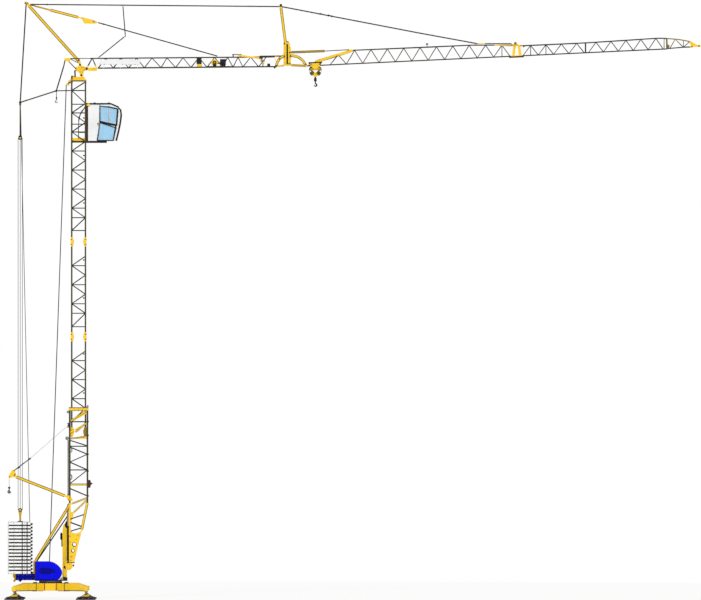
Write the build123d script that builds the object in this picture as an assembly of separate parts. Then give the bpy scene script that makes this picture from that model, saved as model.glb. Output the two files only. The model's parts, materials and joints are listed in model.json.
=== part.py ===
from build123d import *
import math
import os

# Tower crane, bottom slewing and self erecting, as a scale model at half size.
# Millimetres of the model. The origin is on the slewing axis at ground level.
# +X runs along the jib, +Z is up and +Y is the far side.

# Undercarriage
JACK_REACH = 1275
PAD_RADIUS = 357
PAD_PLATE = 50
PAD_HEIGHT = 190
JACK_RADIUS = 32
CHASSIS_BOTTOM = 315
CHASSIS_TOP = 575
HUB_HALF = 503
LEG_WIDTH = 190
LEG_TAPER_START = 930
LEG_TIP_TOP = 450
JACK_HEAD_RADIUS = 95
LEG_PIN_REACH = 560

# Slewing ring and platform
RING_RADIUS = 414
RING_BORE = 250
RING_HALF_HEIGHT = 44
RING_GAP = 0.3
DECK_THICKNESS = 22
DECK_HALF_WIDTH = 430
DECK_REAR = -555
DECK_FRONT = 600
BEAM_REAR = -1225
BEAM_TOP = 914
BEAM_HALF_WIDTH = 260
COVER_TOP = 1355
COVER_NOSE = 415
COVER_HALF_WIDTH = 400

# Ballast
BALLAST_REAR = -1510
BALLAST_FRONT = -705
BALLAST_BOTTOM = 915
SLAB_COUNT = 15
SLAB_PITCH = 123.5
SLAB_GROOVE = 42
SLAB_HALF_WIDTH = 600
SLAB_INSET = 30
LUG_SIZE = 58

# Mast
MAST_X = 1000
OUTER_HALF = 316
OUTER_CHORD = 52
OUTER_TOP = 6855
OUTER_BOTTOM = 3440
INNER_HALF = 245
INNER_CHORD = 48
BRACE = 34
MAST_PITCH = 340
SECTION = 3390
INNER_BOTTOM = 5805
INNER_TOP = 18530
JOINT_HEIGHT = 330
GUSSET = 8
SHOE_GAP = 0.8

# Mast foot
PIVOT_X = 655
PIVOT_Z = 1243
FOOT_PLATE = 20
POST_HALF = 105

# Davit
DAVIT_X = 640
DAVIT_Y = -420
DAVIT_TIP_X = -1290
DAVIT_TIP_Z = 4405
DAVIT_HEEL_Z = 3655
DAVIT_TOP_Z = 6220

# Jib
JIB_HALF = 225
JIB_CHORD = 36
JIB_BRACE = 26
RAIL_WIDTH = 30
RAIL_THICKNESS = 10
TIE_RADIUS = 16
TIE_HALF = 70
JIB_SLOPE = 0.0473
JIB_START_X = 9150
JIB_START_Z = 19048

# Rear stay
STAY_X = -1085
STAY_LOW_Z = 3192
STAY_HIGH_Z = 16475
STAY_SHEAVE = 66
ROPE_RADIUS = 9
ROPE_GAP = 0.3


def vec(point):
    return Vector(*point)


def box(x, y, z):
    """Box from three (low, high) pairs."""
    corner = Plane(origin=(x[0], y[0], z[0]))
    return Solid.make_box(x[1] - x[0], y[1] - y[0], z[1] - z[0], corner)


def frame_along(start, end):
    """Plane at start whose normal points to end, with its X axis as near to +Y as it can be."""
    run = (vec(end) - vec(start)).normalized()
    side = Vector(1, 0, 0) if abs(run.Y) > 0.95 else Vector(0, 1, 0)
    return Plane(origin=vec(start), x_dir=side - run * run.dot(side), z_dir=run)


def bar(start, end, width, depth=None):
    """Straight bar of rectangular section: width across Y, depth across that."""
    section = frame_along(start, end) * Rectangle(width, depth or width)
    return Solid.extrude(section.face(), vec(end) - vec(start))


def rod(start, end, radius):
    run = vec(end) - vec(start)
    return Solid.make_cylinder(radius, run.length, frame_along(start, end))


def tube(start, end, radius, bore):
    return rod(start, end, radius).cut(rod(start, end, bore))


def disc(x, y, z, radius):
    """Round plate or roller with its axis along Y, from y[0] to y[1]."""
    return rod((x, y[0], z), (x, y[1], z), radius)


def plate(outline, y):
    """Flat plate from an outline of (x, z) corners, between the two y values."""
    corners = [(x, y[0], z) for x, z in outline]
    face = Face(Wire.make_polygon(corners))
    return Solid.extrude(face, Vector(0, y[1] - y[0], 0))


def slab_outline(outline, z):
    """Flat plate from an outline of (x, y) corners, between the two z values."""
    corners = [(x, y, z[0]) for x, y in outline]
    face = Face(Wire.make_polygon(corners))
    return Solid.extrude(face, Vector(0, 0, z[1] - z[0]))


def fused(pieces):
    return pieces[0].fuse(*pieces[1:]).solids()


def zigzag(levels, left, right, starts_left, width):
    """Bars between two chords, from level to level, changing side each time."""
    bars = []
    ends = [(left if (i % 2 == 0) == starts_left else right, z) for i, z in enumerate(levels)]
    for (a, za), (b, zb) in zip(ends, ends[1:]):
        bars.append((vec(a) + Vector(0, 0, za), vec(b) + Vector(0, 0, zb)))
    return [bar(p, q, width) for p, q in bars]


def mast_corner(half, sx, sy, z=0):
    return (MAST_X + sx * half, sy * half, z)


def mast_faces(half):
    """The two chords of each of the mast's four sides, left or near one first."""
    return [
        (mast_corner(half, -1, -1), mast_corner(half, 1, -1)),
        (mast_corner(half, -1, 1), mast_corner(half, 1, 1)),
        (mast_corner(half, -1, -1), mast_corner(half, -1, 1)),
        (mast_corner(half, 1, -1), mast_corner(half, 1, 1)),
    ]


def mast_chords(half, chord, bottom, top):
    corners = [(sx, sy) for sx in (-1, 1) for sy in (-1, 1)]
    return [bar(mast_corner(half, sx, sy, bottom), mast_corner(half, sx, sy, top), chord)
            for sx, sy in corners]


def mast_lattice(half, chord, bottom, top, levels, starts_left, flats):
    """Four chords, a zigzag on each side and level bars at the heights in flats."""
    pieces = mast_chords(half, chord, bottom, top)
    for left, right in mast_faces(half):
        pieces += zigzag(levels, left, right, starts_left, BRACE)
        pieces += [bar(vec(left) + Vector(0, 0, z), vec(right) + Vector(0, 0, z), BRACE)
                   for z in flats]
    return fused(pieces)


def octagon(half):
    short = half * math.tan(math.radians(22.5))
    quarter = [(half, -short), (half, short)]
    turned = []
    for turn in range(4):
        c, s = round(math.cos(turn * math.pi / 2)), round(math.sin(turn * math.pi / 2))
        turned += [(x * c - y * s, x * s + y * c) for x, y in quarter]
    return turned


def chassis_hub():
    body = slab_outline(octagon(HUB_HALF), (CHASSIS_BOTTOM, CHASSIS_TOP))
    return body.cut(rod((0, 0, 0), (0, 0, CHASSIS_TOP + 1), RING_BORE)).solids()


def leg(sx, sy):
    """Diagonal outrigger, tapered on top towards the jack, with a round head that holds the jack."""
    diagonal = math.sqrt(2)
    root = HUB_HALF * math.cos(math.radians(22.5)) * 0.9
    outline = [
        (root, CHASSIS_BOTTOM),
        (JACK_REACH * diagonal, CHASSIS_BOTTOM),
        (JACK_REACH * diagonal, LEG_TIP_TOP),
        (LEG_TAPER_START * diagonal, CHASSIS_TOP),
        (root, CHASSIS_TOP),
    ]
    beam = plate(outline, (-LEG_WIDTH / 2, LEG_WIDTH / 2))
    angle = math.degrees(math.atan2(sy, sx))
    beam = beam.rotate(Axis.Z, angle)
    x, y = sx * JACK_REACH, sy * JACK_REACH
    head = rod((x, y, CHASSIS_BOTTOM), (x, y, LEG_TIP_TOP + 15), JACK_HEAD_RADIUS)
    return fused([beam, head])


def leg_pins():
    """Capped hinge pins on top of the leg roots and the wear plates under them."""
    pins = []
    for sx in (-1, 1):
        for sy in (-1, 1):
            x, y = sx * LEG_PIN_REACH, sy * LEG_PIN_REACH
            pins.append(rod((x, y, CHASSIS_TOP), (x, y, CHASSIS_TOP + 34), 75))
            pins.append(rod((x, y, CHASSIS_BOTTOM - 20), (x, y, CHASSIS_BOTTOM), 90))
    return pins


def jack_screws():
    screws = []
    for sx in (-1, 1):
        for sy in (-1, 1):
            x, y = sx * JACK_REACH, sy * JACK_REACH
            screws.append(rod((x, y, PAD_HEIGHT), (x, y, CHASSIS_BOTTOM), JACK_RADIUS))
    return screws


def foot_pads():
    """Round base plate with a stepped cone on it, at each jack."""
    steps = [(PAD_RADIUS, PAD_PLATE), (200, 95), (165, 140), (105, PAD_HEIGHT)]
    pads = []
    for sx in (-1, 1):
        for sy in (-1, 1):
            x, y = sx * JACK_REACH, sy * JACK_REACH
            rounds = [rod((x, y, 0), (x, y, top), radius) for radius, top in steps]
            pads += fused(rounds)
    return pads


def ring_middle():
    return CHASSIS_TOP + RING_HALF_HEIGHT


def ring_top():
    return CHASSIS_TOP + 2 * RING_HALF_HEIGHT


def slew_ring_lower():
    ring = tube((0, 0, CHASSIS_TOP), (0, 0, ring_middle()), RING_RADIUS, RING_BORE)
    return ring.solids()


def slew_ring_upper():
    bottom = ring_middle() + RING_GAP
    ring = tube((0, 0, bottom), (0, 0, ring_top()), RING_RADIUS - 12, RING_BORE)
    return ring.solids()


def deck_top():
    return ring_top() + DECK_THICKNESS


def platform_deck():
    """Deck plate on the ring, with the front block that carries the post."""
    plate_body = box((DECK_REAR, DECK_FRONT), (-DECK_HALF_WIDTH, DECK_HALF_WIDTH),
                     (ring_top(), deck_top()))
    nose = plate([(COVER_NOSE - 130, deck_top()), (DECK_FRONT, deck_top()),
                  (DECK_FRONT, deck_top() + 100), (COVER_NOSE - 20, deck_top() + 100)],
                 (-POST_HALF - 60, POST_HALF + 60))
    return fused([plate_body, nose])


def rear_beam():
    """Closed beam behind the cover that the ballast rests on."""
    beam = box((BEAM_REAR, DECK_REAR), (-BEAM_HALF_WIDTH, BEAM_HALF_WIDTH), (deck_top(), BEAM_TOP))
    lug = plate([(BEAM_REAR + 70, deck_top()), (BEAM_REAR + 210, deck_top()),
                 (BEAM_REAR + 160, deck_top() - 60), (BEAM_REAR + 120, deck_top() - 60)], (-60, 60))
    return fused([beam, lug])


def rear_frame():
    """Upright plate between the rear beam and the cover, up to the foot of the back braces."""
    foot = box((BALLAST_FRONT + 62, DECK_REAR - 2), (-BEAM_HALF_WIDTH, BEAM_HALF_WIDTH),
               (BEAM_TOP, BEAM_TOP + 60))
    post = box((DECK_REAR - 58, DECK_REAR - 2), (-BEAM_HALF_WIDTH, BEAM_HALF_WIDTH),
               (BEAM_TOP, COVER_TOP + 30))
    return fused([foot, post])


def rear_bracket():
    """Hook plates at the beam's rear end that keep the ballast from sliding off."""
    outline = [(BEAM_REAR, BEAM_TOP - 2), (BEAM_REAR - 110, BEAM_TOP - 2), (BEAM_REAR - 130, BEAM_TOP - 90),
               (BEAM_REAR - 70, BEAM_TOP - 170), (BEAM_REAR - 120, BEAM_TOP - 260),
               (BEAM_REAR - 60, BEAM_TOP - 300), (BEAM_REAR, BEAM_TOP - 225)]
    return [plate(outline, (y - 20, y + 20)) for y in (-150, 150)]


def machinery_cover():
    """Rounded housing over the hoist and the slewing drive: flat rear and top, a curved nose."""
    low, nose_z = deck_top(), 975
    face = Face(Wire([
        Edge.make_line((DECK_REAR, 0, low), (DECK_REAR, 0, COVER_TOP)),
        Edge.make_line((DECK_REAR, 0, COVER_TOP), (-165, 0, COVER_TOP)),
        Edge.make_three_point_arc((-165, 0, COVER_TOP), (225, 0, 1245), (COVER_NOSE, 0, nose_z)),
        Edge.make_three_point_arc((COVER_NOSE, 0, nose_z), (380, 0, 830), (265, 0, low)),
        Edge.make_line((265, 0, low), (DECK_REAR, 0, low)),
    ]))
    solid = Solid.extrude(face, Vector(0, 2 * COVER_HALF_WIDTH, 0))
    return solid.moved(Location((0, -COVER_HALF_WIDTH, 0))).solids()


def slab(index):
    """One ballast slab: full outline below, and a smaller raised face that leaves the dark groove."""
    low = BALLAST_BOTTOM + index * SLAB_PITCH
    shoulder, top = low + SLAB_PITCH - SLAB_GROOVE, low + SLAB_PITCH
    outline = [(BALLAST_REAR, -SLAB_HALF_WIDTH), (BALLAST_FRONT, -SLAB_HALF_WIDTH),
               (BALLAST_FRONT, SLAB_HALF_WIDTH), (BALLAST_REAR, SLAB_HALF_WIDTH)]
    inner = [(BALLAST_REAR + SLAB_INSET, -SLAB_HALF_WIDTH + SLAB_INSET),
             (BALLAST_FRONT - SLAB_INSET, -SLAB_HALF_WIDTH + SLAB_INSET),
             (BALLAST_FRONT - SLAB_INSET, SLAB_HALF_WIDTH - SLAB_INSET),
             (BALLAST_REAR + SLAB_INSET, SLAB_HALF_WIDTH - SLAB_INSET)]
    return fused([slab_outline(outline, (low, shoulder)), slab_outline(inner, (shoulder, top))])


def ballast_top():
    return BALLAST_BOTTOM + SLAB_COUNT * SLAB_PITCH


def ballast_slabs(first):
    solids = []
    for index in range(first, SLAB_COUNT, 2):
        solids += slab(index)
    return solids


def ballast_lugs():
    """A lifting lug on the front face of each slab, on both sides of the middle."""
    lugs = []
    for index in range(SLAB_COUNT):
        low = BALLAST_BOTTOM + index * SLAB_PITCH + 8
        for y in (-330, 330):
            lugs.append(box((BALLAST_FRONT, BALLAST_FRONT + LUG_SIZE), (y - 40, y + 40), (low, low + 66)))
    return lugs


def ballast_ties():
    """Flat tie bars down both sides of the stack."""
    ties = []
    for x in (-1003, -828):
        for side in (-1, 1):
            y = sorted((side * SLAB_HALF_WIDTH, side * (SLAB_HALF_WIDTH + 12)))
            ties.append(box((x - 14, x + 14), y, (BALLAST_BOTTOM, ballast_top())))
    return ties


def stay_anchor():
    """Lug, rod and fork on top of the ballast that hold the lower pulley block."""
    top = ballast_top()
    base = box((STAY_X - 90, STAY_X + 90), (-90, 90), (top, top + 30))
    lug = box((STAY_X - 25, STAY_X + 25), (-12, 12), (top, top + 90))
    stem = rod((STAY_X, 0, top + 60), (STAY_X, 0, STAY_LOW_Z - 95), 16)
    fork = box((STAY_X - 45, STAY_X + 45), (-42, 42), (STAY_LOW_Z - 195, STAY_LOW_Z - 95))
    cheeks = [box((STAY_X - 60, STAY_X + 60), (y - 6, y + 6), (STAY_LOW_Z - 125, STAY_LOW_Z + 45))
              for y in (-36, 36)]
    return fused([base, lug, stem, fork, *cheeks])


def stay_sheaves():
    """Sheaves of the rear stay's lower pulley block."""
    sheaves = [disc(STAY_X, (y - 10, y + 10), STAY_LOW_Z, STAY_SHEAVE) for y in (-16, 16)]
    return fused([*sheaves, disc(STAY_X, (-30, 30), STAY_LOW_Z, 18)])


def post():
    """Front column that carries the mast's foot, with the thinner strut above it."""
    low = deck_top() + 100
    top = OUTER_BOTTOM - 60
    outline = [(425, low), (585, low), (585, 2470), (615, 2740), (668, top),
               (612, top), (560, 2800), (500, 2690), (455, 2660), (425, 2430)]
    return plate(outline, (-POST_HALF, POST_HALF)).solids()


def post_motor():
    """Drive for the erecting winch on the rear of the post."""
    x, low, high = 425, 2150, 2350
    body = rod((x - 40, 0, low), (x - 40, 0, high), 40)
    caps = rod((x - 40, 0, low - 30), (x - 40, 0, high + 30), 26)
    foot = box((x - 30, x), (-40, 40), (low + 30, high - 30))
    pipe = rod((x - 14, 0, 1890), (x - 14, 0, low + 10), 14)
    return fused([body, caps, foot, pipe])


def back_braces():
    """Two stout tubes from the rear frame up to the mast's foot, with a thin rod below each."""
    pieces = []
    for y in (-BEAM_HALF_WIDTH + 30, BEAM_HALF_WIDTH - 30):
        pieces.append(bar((-545, y, 1364), (680, y, 3377), 60, 78))
        pieces.append(rod((-499, y, COVER_TOP - 5), (590, y * 0.4, 2953), 16))
    return pieces


CAGE_BAR = 46
CAGE_DIAGONALS = [(6325, 6670), (5957, 6297)]
CAGE_FLATS = [5755, 4100]
OUTER_DIAGONALS = [(5680, 5480), (5440, 5180), (4900, 5180), (4900, 4620), (4125, 4620), (3960, 3690)]
OUTER_FLATS = [6340, 5465, 4620]
COLLAR_HEIGHT = 120
COLLAR_HALF = 350
COLLAR_BORE = 283
JOINT_LEVELS = [12765, 12765 - SECTION, 12765 - 2 * SECTION]


def outer_mast():
    """Fixed lower mast: four chords with cross bars and braces on every side."""
    pieces = mast_chords(OUTER_HALF, OUTER_CHORD, OUTER_BOTTOM, OUTER_TOP - COLLAR_HEIGHT)
    rises = [(low, high, BRACE, BRACE) for low, high in OUTER_DIAGONALS]
    rises += [(low, high, BRACE, CAGE_BAR) for low, high in CAGE_DIAGONALS]
    rises += [(z, z, BRACE, BRACE) for z in OUTER_FLATS]
    rises += [(z, z, BRACE, CAGE_BAR) for z in CAGE_FLATS]
    for left, right in mast_faces(OUTER_HALF):
        along_y = left[0] == right[0]
        for low, high, thick, deep in rises:
            size = (deep, thick) if along_y and low != high else (thick, deep)
            pieces.append(bar(vec(left) + Vector(0, 0, low), vec(right) + Vector(0, 0, high), *size))
    return fused(pieces)


def square_ring(half, bore, z):
    outer = box((MAST_X - half, MAST_X + half), (-half, half), z)
    inner = box((MAST_X - bore, MAST_X + bore), (-bore, bore), z)
    return outer.cut(inner)


def outer_collar():
    """Frame on top of the outer mast that the inner mast slides through."""
    return square_ring(COLLAR_HALF, COLLAR_BORE, (OUTER_TOP - COLLAR_HEIGHT, OUTER_TOP)).solids()


def collar_shoes():
    """Guide pads inside the collar, two at each chord of the inner mast."""
    face = INNER_HALF + INNER_CHORD / 2 + SHOE_GAP
    pads = []
    for sx in (-1, 1):
        for sy in (-1, 1):
            flat_x = sorted((MAST_X + sx * face, MAST_X + sx * COLLAR_BORE))
            flat_y = sorted((sy * face, sy * COLLAR_BORE))
            near_x = sorted((MAST_X + sx * 225, MAST_X + sx * 260))
            near_y = sorted((sy * 225, sy * 260))
            z = (OUTER_TOP - COLLAR_HEIGHT, OUTER_TOP)
            pads += [box(flat_x, near_y, z), box(near_x, flat_y, z)]
    return pads


def lower_shoes():
    """Guide pads at the foot of the inner mast that run on the outer mast's chords."""
    outside = OUTER_HALF - OUTER_CHORD / 2 - SHOE_GAP
    inside = INNER_HALF + INNER_CHORD / 2 + GUSSET
    bearing = OUTER_HALF - OUTER_CHORD / 2 + 2
    z = (JOINT_LEVELS[2] - 120, JOINT_LEVELS[2] + 120)
    pads = []
    for sx in (-1, 1):
        for sy in (-1, 1):
            flat_x = sorted((MAST_X + sx * inside, MAST_X + sx * outside))
            flat_y = sorted((sy * inside, sy * outside))
            near_x = sorted((MAST_X + sx * 225, MAST_X + sx * bearing))
            near_y = sorted((sy * 225, sy * bearing))
            pads += [box(flat_x, near_y, z), box(near_x, flat_y, z)]
    return pads


def rear_rail():
    """Grey guide rail on the rear side of the outer mast."""
    inner = MAST_X - OUTER_HALF - BRACE / 2
    return [box((inner - 64, inner), (-35, 35), (3700, 5690))]


ROLLER_RADIUS = 40


def guide_pulleys():
    """Rope pulleys on the rear side of the outer mast, and the roller at the collar's front."""
    rear = MAST_X - OUTER_HALF
    pieces = []
    for x, z, radius in ((rear - 60, 6690, 48), (rear - 95, 5750, 62)):
        wheel = disc(x, (-18, 18), z, radius)
        arms = [box((x - 20, rear - BRACE / 2), (y - 6, y + 6), (z - 22, z + 22)) for y in (-26, 26)]
        axle = disc(x, (-32, 32), z, 12)
        back = box((rear - BRACE / 2 - 12, rear - BRACE / 2), (-60, 60), (z - 60, z + 60))
        pieces += fused([wheel, axle, *arms, back])
    joint_face = MAST_X + INNER_HALF + INNER_CHORD / 2 + GUSSET
    pieces.append(disc(joint_face + 5 + ROLLER_RADIUS, (-200, 200), OUTER_TOP + ROLLER_RADIUS, ROLLER_RADIUS))
    return pieces


def front_bracket():
    """Tie brackets on the front chords of the outer mast."""
    face = MAST_X + OUTER_HALF + OUTER_CHORD / 2
    outline = [(face, 3985), (face + 75, 3985), (face + 90, 4080), (face + 165, 4130),
               (face + 90, 4180), (face + 75, 4260), (face, 4260)]
    return [plate(outline, (y - 20, y + 20)) for y in (-OUTER_HALF, OUTER_HALF)]


def mast_foot():
    """Tapering lower end of the mast: two side frames that end in the pierced foot plates."""
    rear = MAST_X - OUTER_HALF
    front = MAST_X + OUTER_HALF
    pieces = []
    for side in (-1, 1):
        y = side * OUTER_HALF
        pieces += [
            bar((rear, y, 2300), (rear, y, OUTER_BOTTOM), OUTER_CHORD),
            bar((1110, y, 2450), (front, y, OUTER_BOTTOM), OUTER_CHORD),
            bar((rear, y, 3385), (front, y, 3625), 30, CAGE_BAR),
            bar((rear, y, 2960), (front, y, 3565), 30, CAGE_BAR),
            plate([(rear, 3130), (rear + 130, 3100), (rear + 110, 2960), (rear + 45, 2700), (rear, 2690)],
                  (y - 8, y + 8)),
            bar((rear, y, 2860), (1215, y, 3035), BRACE),
            bar((rear, y, 2755), (1130, y, 2590), BRACE),
            bar((rear, y, 2420), (1110, y, 2555), BRACE),
            foot_plate(y),
        ]
    for x, z in ((rear, 3400), (rear, 2900), (rear, 2400), (front - 6, 3420), (1120, 2520)):
        pieces.append(bar((x, -OUTER_HALF, z), (x, OUTER_HALF, z), 36))
    pieces.append(bar((rear, -OUTER_HALF, 3360), (rear, OUTER_HALF, 2940), BRACE))
    pieces.append(bar((rear, OUTER_HALF, 2860), (rear, -OUTER_HALF, 2440), BRACE))
    return fused(pieces)


def foot_plate(y):
    """Pierced side plate with a hollowed top edge."""
    half = FOOT_PLATE / 2
    face = Face(Wire([
        Edge.make_line((662, y - half, 1315), (662, y - half, 2470)),
        Edge.make_three_point_arc((662, y - half, 2470), (895, y - half, 2350), (1125, y - half, 2515)),
        Edge.make_line((1125, y - half, 2515), (835, y - half, 1315)),
        Edge.make_line((835, y - half, 1315), (662, y - half, 1315)),
    ]))
    solid = Solid.extrude(face, Vector(0, FOOT_PLATE, 0))
    holes = [disc(x, (y - 30, y + 30), z, radius)
             for x, z, radius in ((855, 1960, 68), (800, 1740, 54), (748, 1530, 32))]
    return solid.cut(*holes)


def foot_shoes():
    """Rounded shoes under the foot plates, with their locking pins."""
    pieces = []
    for side in (-1, 1):
        y = side * OUTER_HALF
        wide = (y - 22, y + 22)
        shoe = fused([disc(PIVOT_X, wide, PIVOT_Z - 80, 118),
                      box((PIVOT_X - 118, PIVOT_X + 118), wide, (PIVOT_Z - 80, 1315))])
        pieces += shoe
        pieces.append(box((PIVOT_X + 118, PIVOT_X + 190), (y - 16, y + 16), (PIVOT_Z - 80, PIVOT_Z - 20)))
    return pieces


def foot_shafts():
    """Shafts between the post and the shoes that the mast turns on when it is raised."""
    return [disc(585, span, 1150, 45)
            for span in ((-OUTER_HALF + 22, -POST_HALF), (POST_HALF, OUTER_HALF - 22))]


def erecting_cylinders():
    """Black cylinders beside the post that raise the mast."""
    pieces = []
    for y in (-170, 170):
        barrel = rod((622, y, 1380), (622, y, 2600), 34)
        stem = rod((622, y, 2600), (622, y, 3400), 20)
        head = bar((622, y, 3400), (MAST_X - OUTER_HALF, y, 3400), 40)
        eye = box((600, 668), (y - 25, y + 25), (1320, 1382))
        pieces += fused([barrel, stem, head, eye])
    return pieces


def cylinder_shaft():
    """Cross shaft at the foot plates that the cylinders stand on."""
    return [bar((640, -OUTER_HALF + 10, 1345), (640, OUTER_HALF - 10, 1345), 44)]


def inner_levels(top, first, count, last):
    """Heights of a section's zigzag nodes: a first step, equal steps, then a last step."""
    levels = [top, top - first]
    levels += [top - first - MAST_PITCH * i for i in range(1, count + 1)]
    levels.append(levels[-1] - last)
    return levels


def inner_section(index):
    """Section 0 is the long top one; the others hang between two joints."""
    if index == 0:
        top = INNER_TOP
        levels = inner_levels(18480, 310, 0, 460)[:-1] + inner_levels(18170, 460, 12, 460)[1:]
    else:
        top = JOINT_LEVELS[index - 1]
        levels = inner_levels(top - 75, 435, 6, 480)[1:]
    bottom = JOINT_LEVELS[index] if index < 2 else INNER_BOTTOM
    flats = sorted({z for z in levels[1::2] + [levels[-2]] if z > bottom + 40})
    return mast_lattice(INNER_HALF, INNER_CHORD, bottom, top, levels, False, flats)


def mast_joint(z):
    """Corner gussets on the four sides where two mast sections are pinned together."""
    face = INNER_HALF + INNER_CHORD / 2
    high = JOINT_HEIGHT / 2
    wide = INNER_HALF - INNER_CHORD / 2 - 55
    corner = [(-face, -high), (-face, high), (-face + 66, high), (-wide, 24), (-wide, -24),
              (-face + 66, -high)]
    plates = []
    for side in (-1, 1):
        for end in (-1, 1):
            outline = [(MAST_X + end * a, z + b) for a, b in corner]
            plates.append(plate(outline, sorted((side * face, side * (face + GUSSET)))))
            turned = [Vector(MAST_X + side * face, end * a, z + b) for a, b in corner]
            leaf = Face(Wire.make_polygon(turned))
            plates.append(Solid.extrude(leaf, Vector(side * GUSSET, 0, 0)))
    return plates


def mast_joints():
    return [solid for z in JOINT_LEVELS for solid in mast_joint(z)]


DAVIT_PLATE = 20
KNUCKLE = 62
KNUCKLE_GAP = 0.3


def davit_brackets():
    """Ears on the near rear chord that hold the davit's heel and its topping line."""
    near = -OUTER_HALF - OUTER_CHORD / 2
    ears = []
    for z in (DAVIT_HEEL_Z, DAVIT_TOP_Z):
        for side in (-1, 1):
            low = z + side * (KNUCKLE + KNUCKLE_GAP + DAVIT_PLATE / 2)
            ears.append(box((DAVIT_X - 45, MAST_X - OUTER_HALF + 22), (DAVIT_Y - 45, near),
                            (low - DAVIT_PLATE / 2, low + DAVIT_PLATE / 2)))
    heel = [(590, 3640), (650, 3715), (730, 3670), (800, 3560), (790, 3515), (640, 3515)]
    return fused([*ears[:2], plate(heel, (near - 10, near))]) + ears[2:]


def davit_knuckle(z, radius):
    return rod((DAVIT_X, DAVIT_Y, z - KNUCKLE), (DAVIT_X, DAVIT_Y, z + KNUCKLE), radius)


def davit_boom():
    """Swinging boom with its heel knuckle and the fork at its tip."""
    y = DAVIT_Y
    slope = (DAVIT_TIP_Z - DAVIT_HEEL_Z - 4) / (DAVIT_X - 20 - DAVIT_TIP_X)
    root = bar((500, y, DAVIT_HEEL_Z + 4 + 120 * slope), (DAVIT_X - 20, y, DAVIT_HEEL_Z + 4), 52, 60)
    beam = bar((DAVIT_TIP_X, y, DAVIT_TIP_Z), (525, y, DAVIT_HEEL_Z + 4 + 95 * slope), 60, 88)
    outline = [(DAVIT_TIP_X + 60, DAVIT_TIP_Z + 30), (DAVIT_TIP_X + 20, DAVIT_TIP_Z + 230),
               (DAVIT_TIP_X - 60, DAVIT_TIP_Z + 230), (DAVIT_TIP_X - 200, DAVIT_TIP_Z + 20),
               (DAVIT_TIP_X - 200, DAVIT_TIP_Z - 60), (DAVIT_TIP_X - 90, DAVIT_TIP_Z - 60)]
    fork = plate(outline, (y - 30, y + 30))
    return fused([beam, root, davit_knuckle(DAVIT_HEEL_Z, 42), fork])


def davit_line():
    """Topping line of the davit, a stout lower link and a thin rope up to the mast."""
    y = DAVIT_Y
    foot = (DAVIT_TIP_X, y, DAVIT_TIP_Z + 200)
    middle = (-715, y, 5040)
    return fused([rod(foot, middle, 13), rod(middle, (DAVIT_X, y, DAVIT_TOP_Z), 5),
                  disc(-1130, (y - 24, y + 24), 4711, 32), disc(-740, (y - 24, y + 24), 5020, 32),
                  davit_knuckle(DAVIT_TOP_Z, 24)])


def hook_outline(x, z, size):
    """Hook seen from the side, with its opening towards +X, for a hook of the given height."""
    grid = [(-0.10, 1.0), (0.10, 1.0), (0.12, 0.72), (0.36, 0.50), (0.40, 0.22), (0.22, 0.0), (-0.10, -0.04),
            (-0.34, 0.10), (-0.42, 0.36), (-0.26, 0.38), (-0.20, 0.22), (-0.04, 0.14), (0.12, 0.18),
            (0.20, 0.30), (0.16, 0.42), (-0.10, 0.62)]
    return [(x - dx * size, z + dz * size) for dx, dz in grid]


def davit_hook():
    """Short rope, ball weight and hook at the davit's tip."""
    x, y = DAVIT_TIP_X - 180, DAVIT_Y
    rope = rod((x, y, 4010), (x, y, DAVIT_TIP_Z - 60), 6)
    ball = Solid.make_sphere(42, Plane((x, y, 3990)), -90, 90, 360)
    hook = plate(hook_outline(x, 3790, 165), (y - 12, y + 12))
    return fused([rope, ball, hook])


CAB_REAR = MAST_X + 345
CAB_FLOOR = 16370
CAB_ROOF = 17680
CAB_HALF = 300
CAB_WALL = 25
PANE = 8


def cab_level(share):
    """Height above the ground at a share of the cab's height."""
    return CAB_FLOOR + share * (CAB_ROOF - CAB_FLOOR)


CAB_OUTLINE = [(CAB_REAR, CAB_FLOOR), (2315, CAB_FLOOR), (2430, cab_level(0.252)), (2490, cab_level(0.473)),
               (2530, cab_level(0.695)), (2505, cab_level(0.847)), (2415, cab_level(0.905)), (2155, CAB_ROOF),
               (CAB_REAR, CAB_ROOF)]
CAB_INSIDE = [(CAB_REAR + CAB_WALL, CAB_FLOOR + 30), (2296, CAB_FLOOR + 30), (2405, cab_level(0.256)),
              (2465, cab_level(0.476)), (2504, cab_level(0.695)), (2482, cab_level(0.834)),
              (2403, cab_level(0.884)), (2148, CAB_ROOF - CAB_WALL), (CAB_REAR + CAB_WALL, CAB_ROOF - CAB_WALL)]
UPPER_WINDOW = [(1790, cab_level(0.553)), (2065, cab_level(0.511)), (2065, cab_level(0.947)),
                (1790, cab_level(0.947))]
FRONT_WINDOW = [(2110, cab_level(0.504)), (2370, cab_level(0.450)), (2420, cab_level(0.847)),
                (2120, cab_level(0.947))]
LOWER_WINDOW = [(1705, CAB_FLOOR + 40), (2215, CAB_FLOOR + 40), (2310, cab_level(0.366)),
                (2100, cab_level(0.443)), (1780, cab_level(0.485))]
REAR_WINDOW = ((-190, 190), (cab_level(0.473), cab_level(0.908)))
CAB_DOOR = ((-200, 200), (CAB_FLOOR + 30, cab_level(0.427)))
WINDSCREEN = (CAB_FLOOR + 90, cab_level(0.817))


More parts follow.
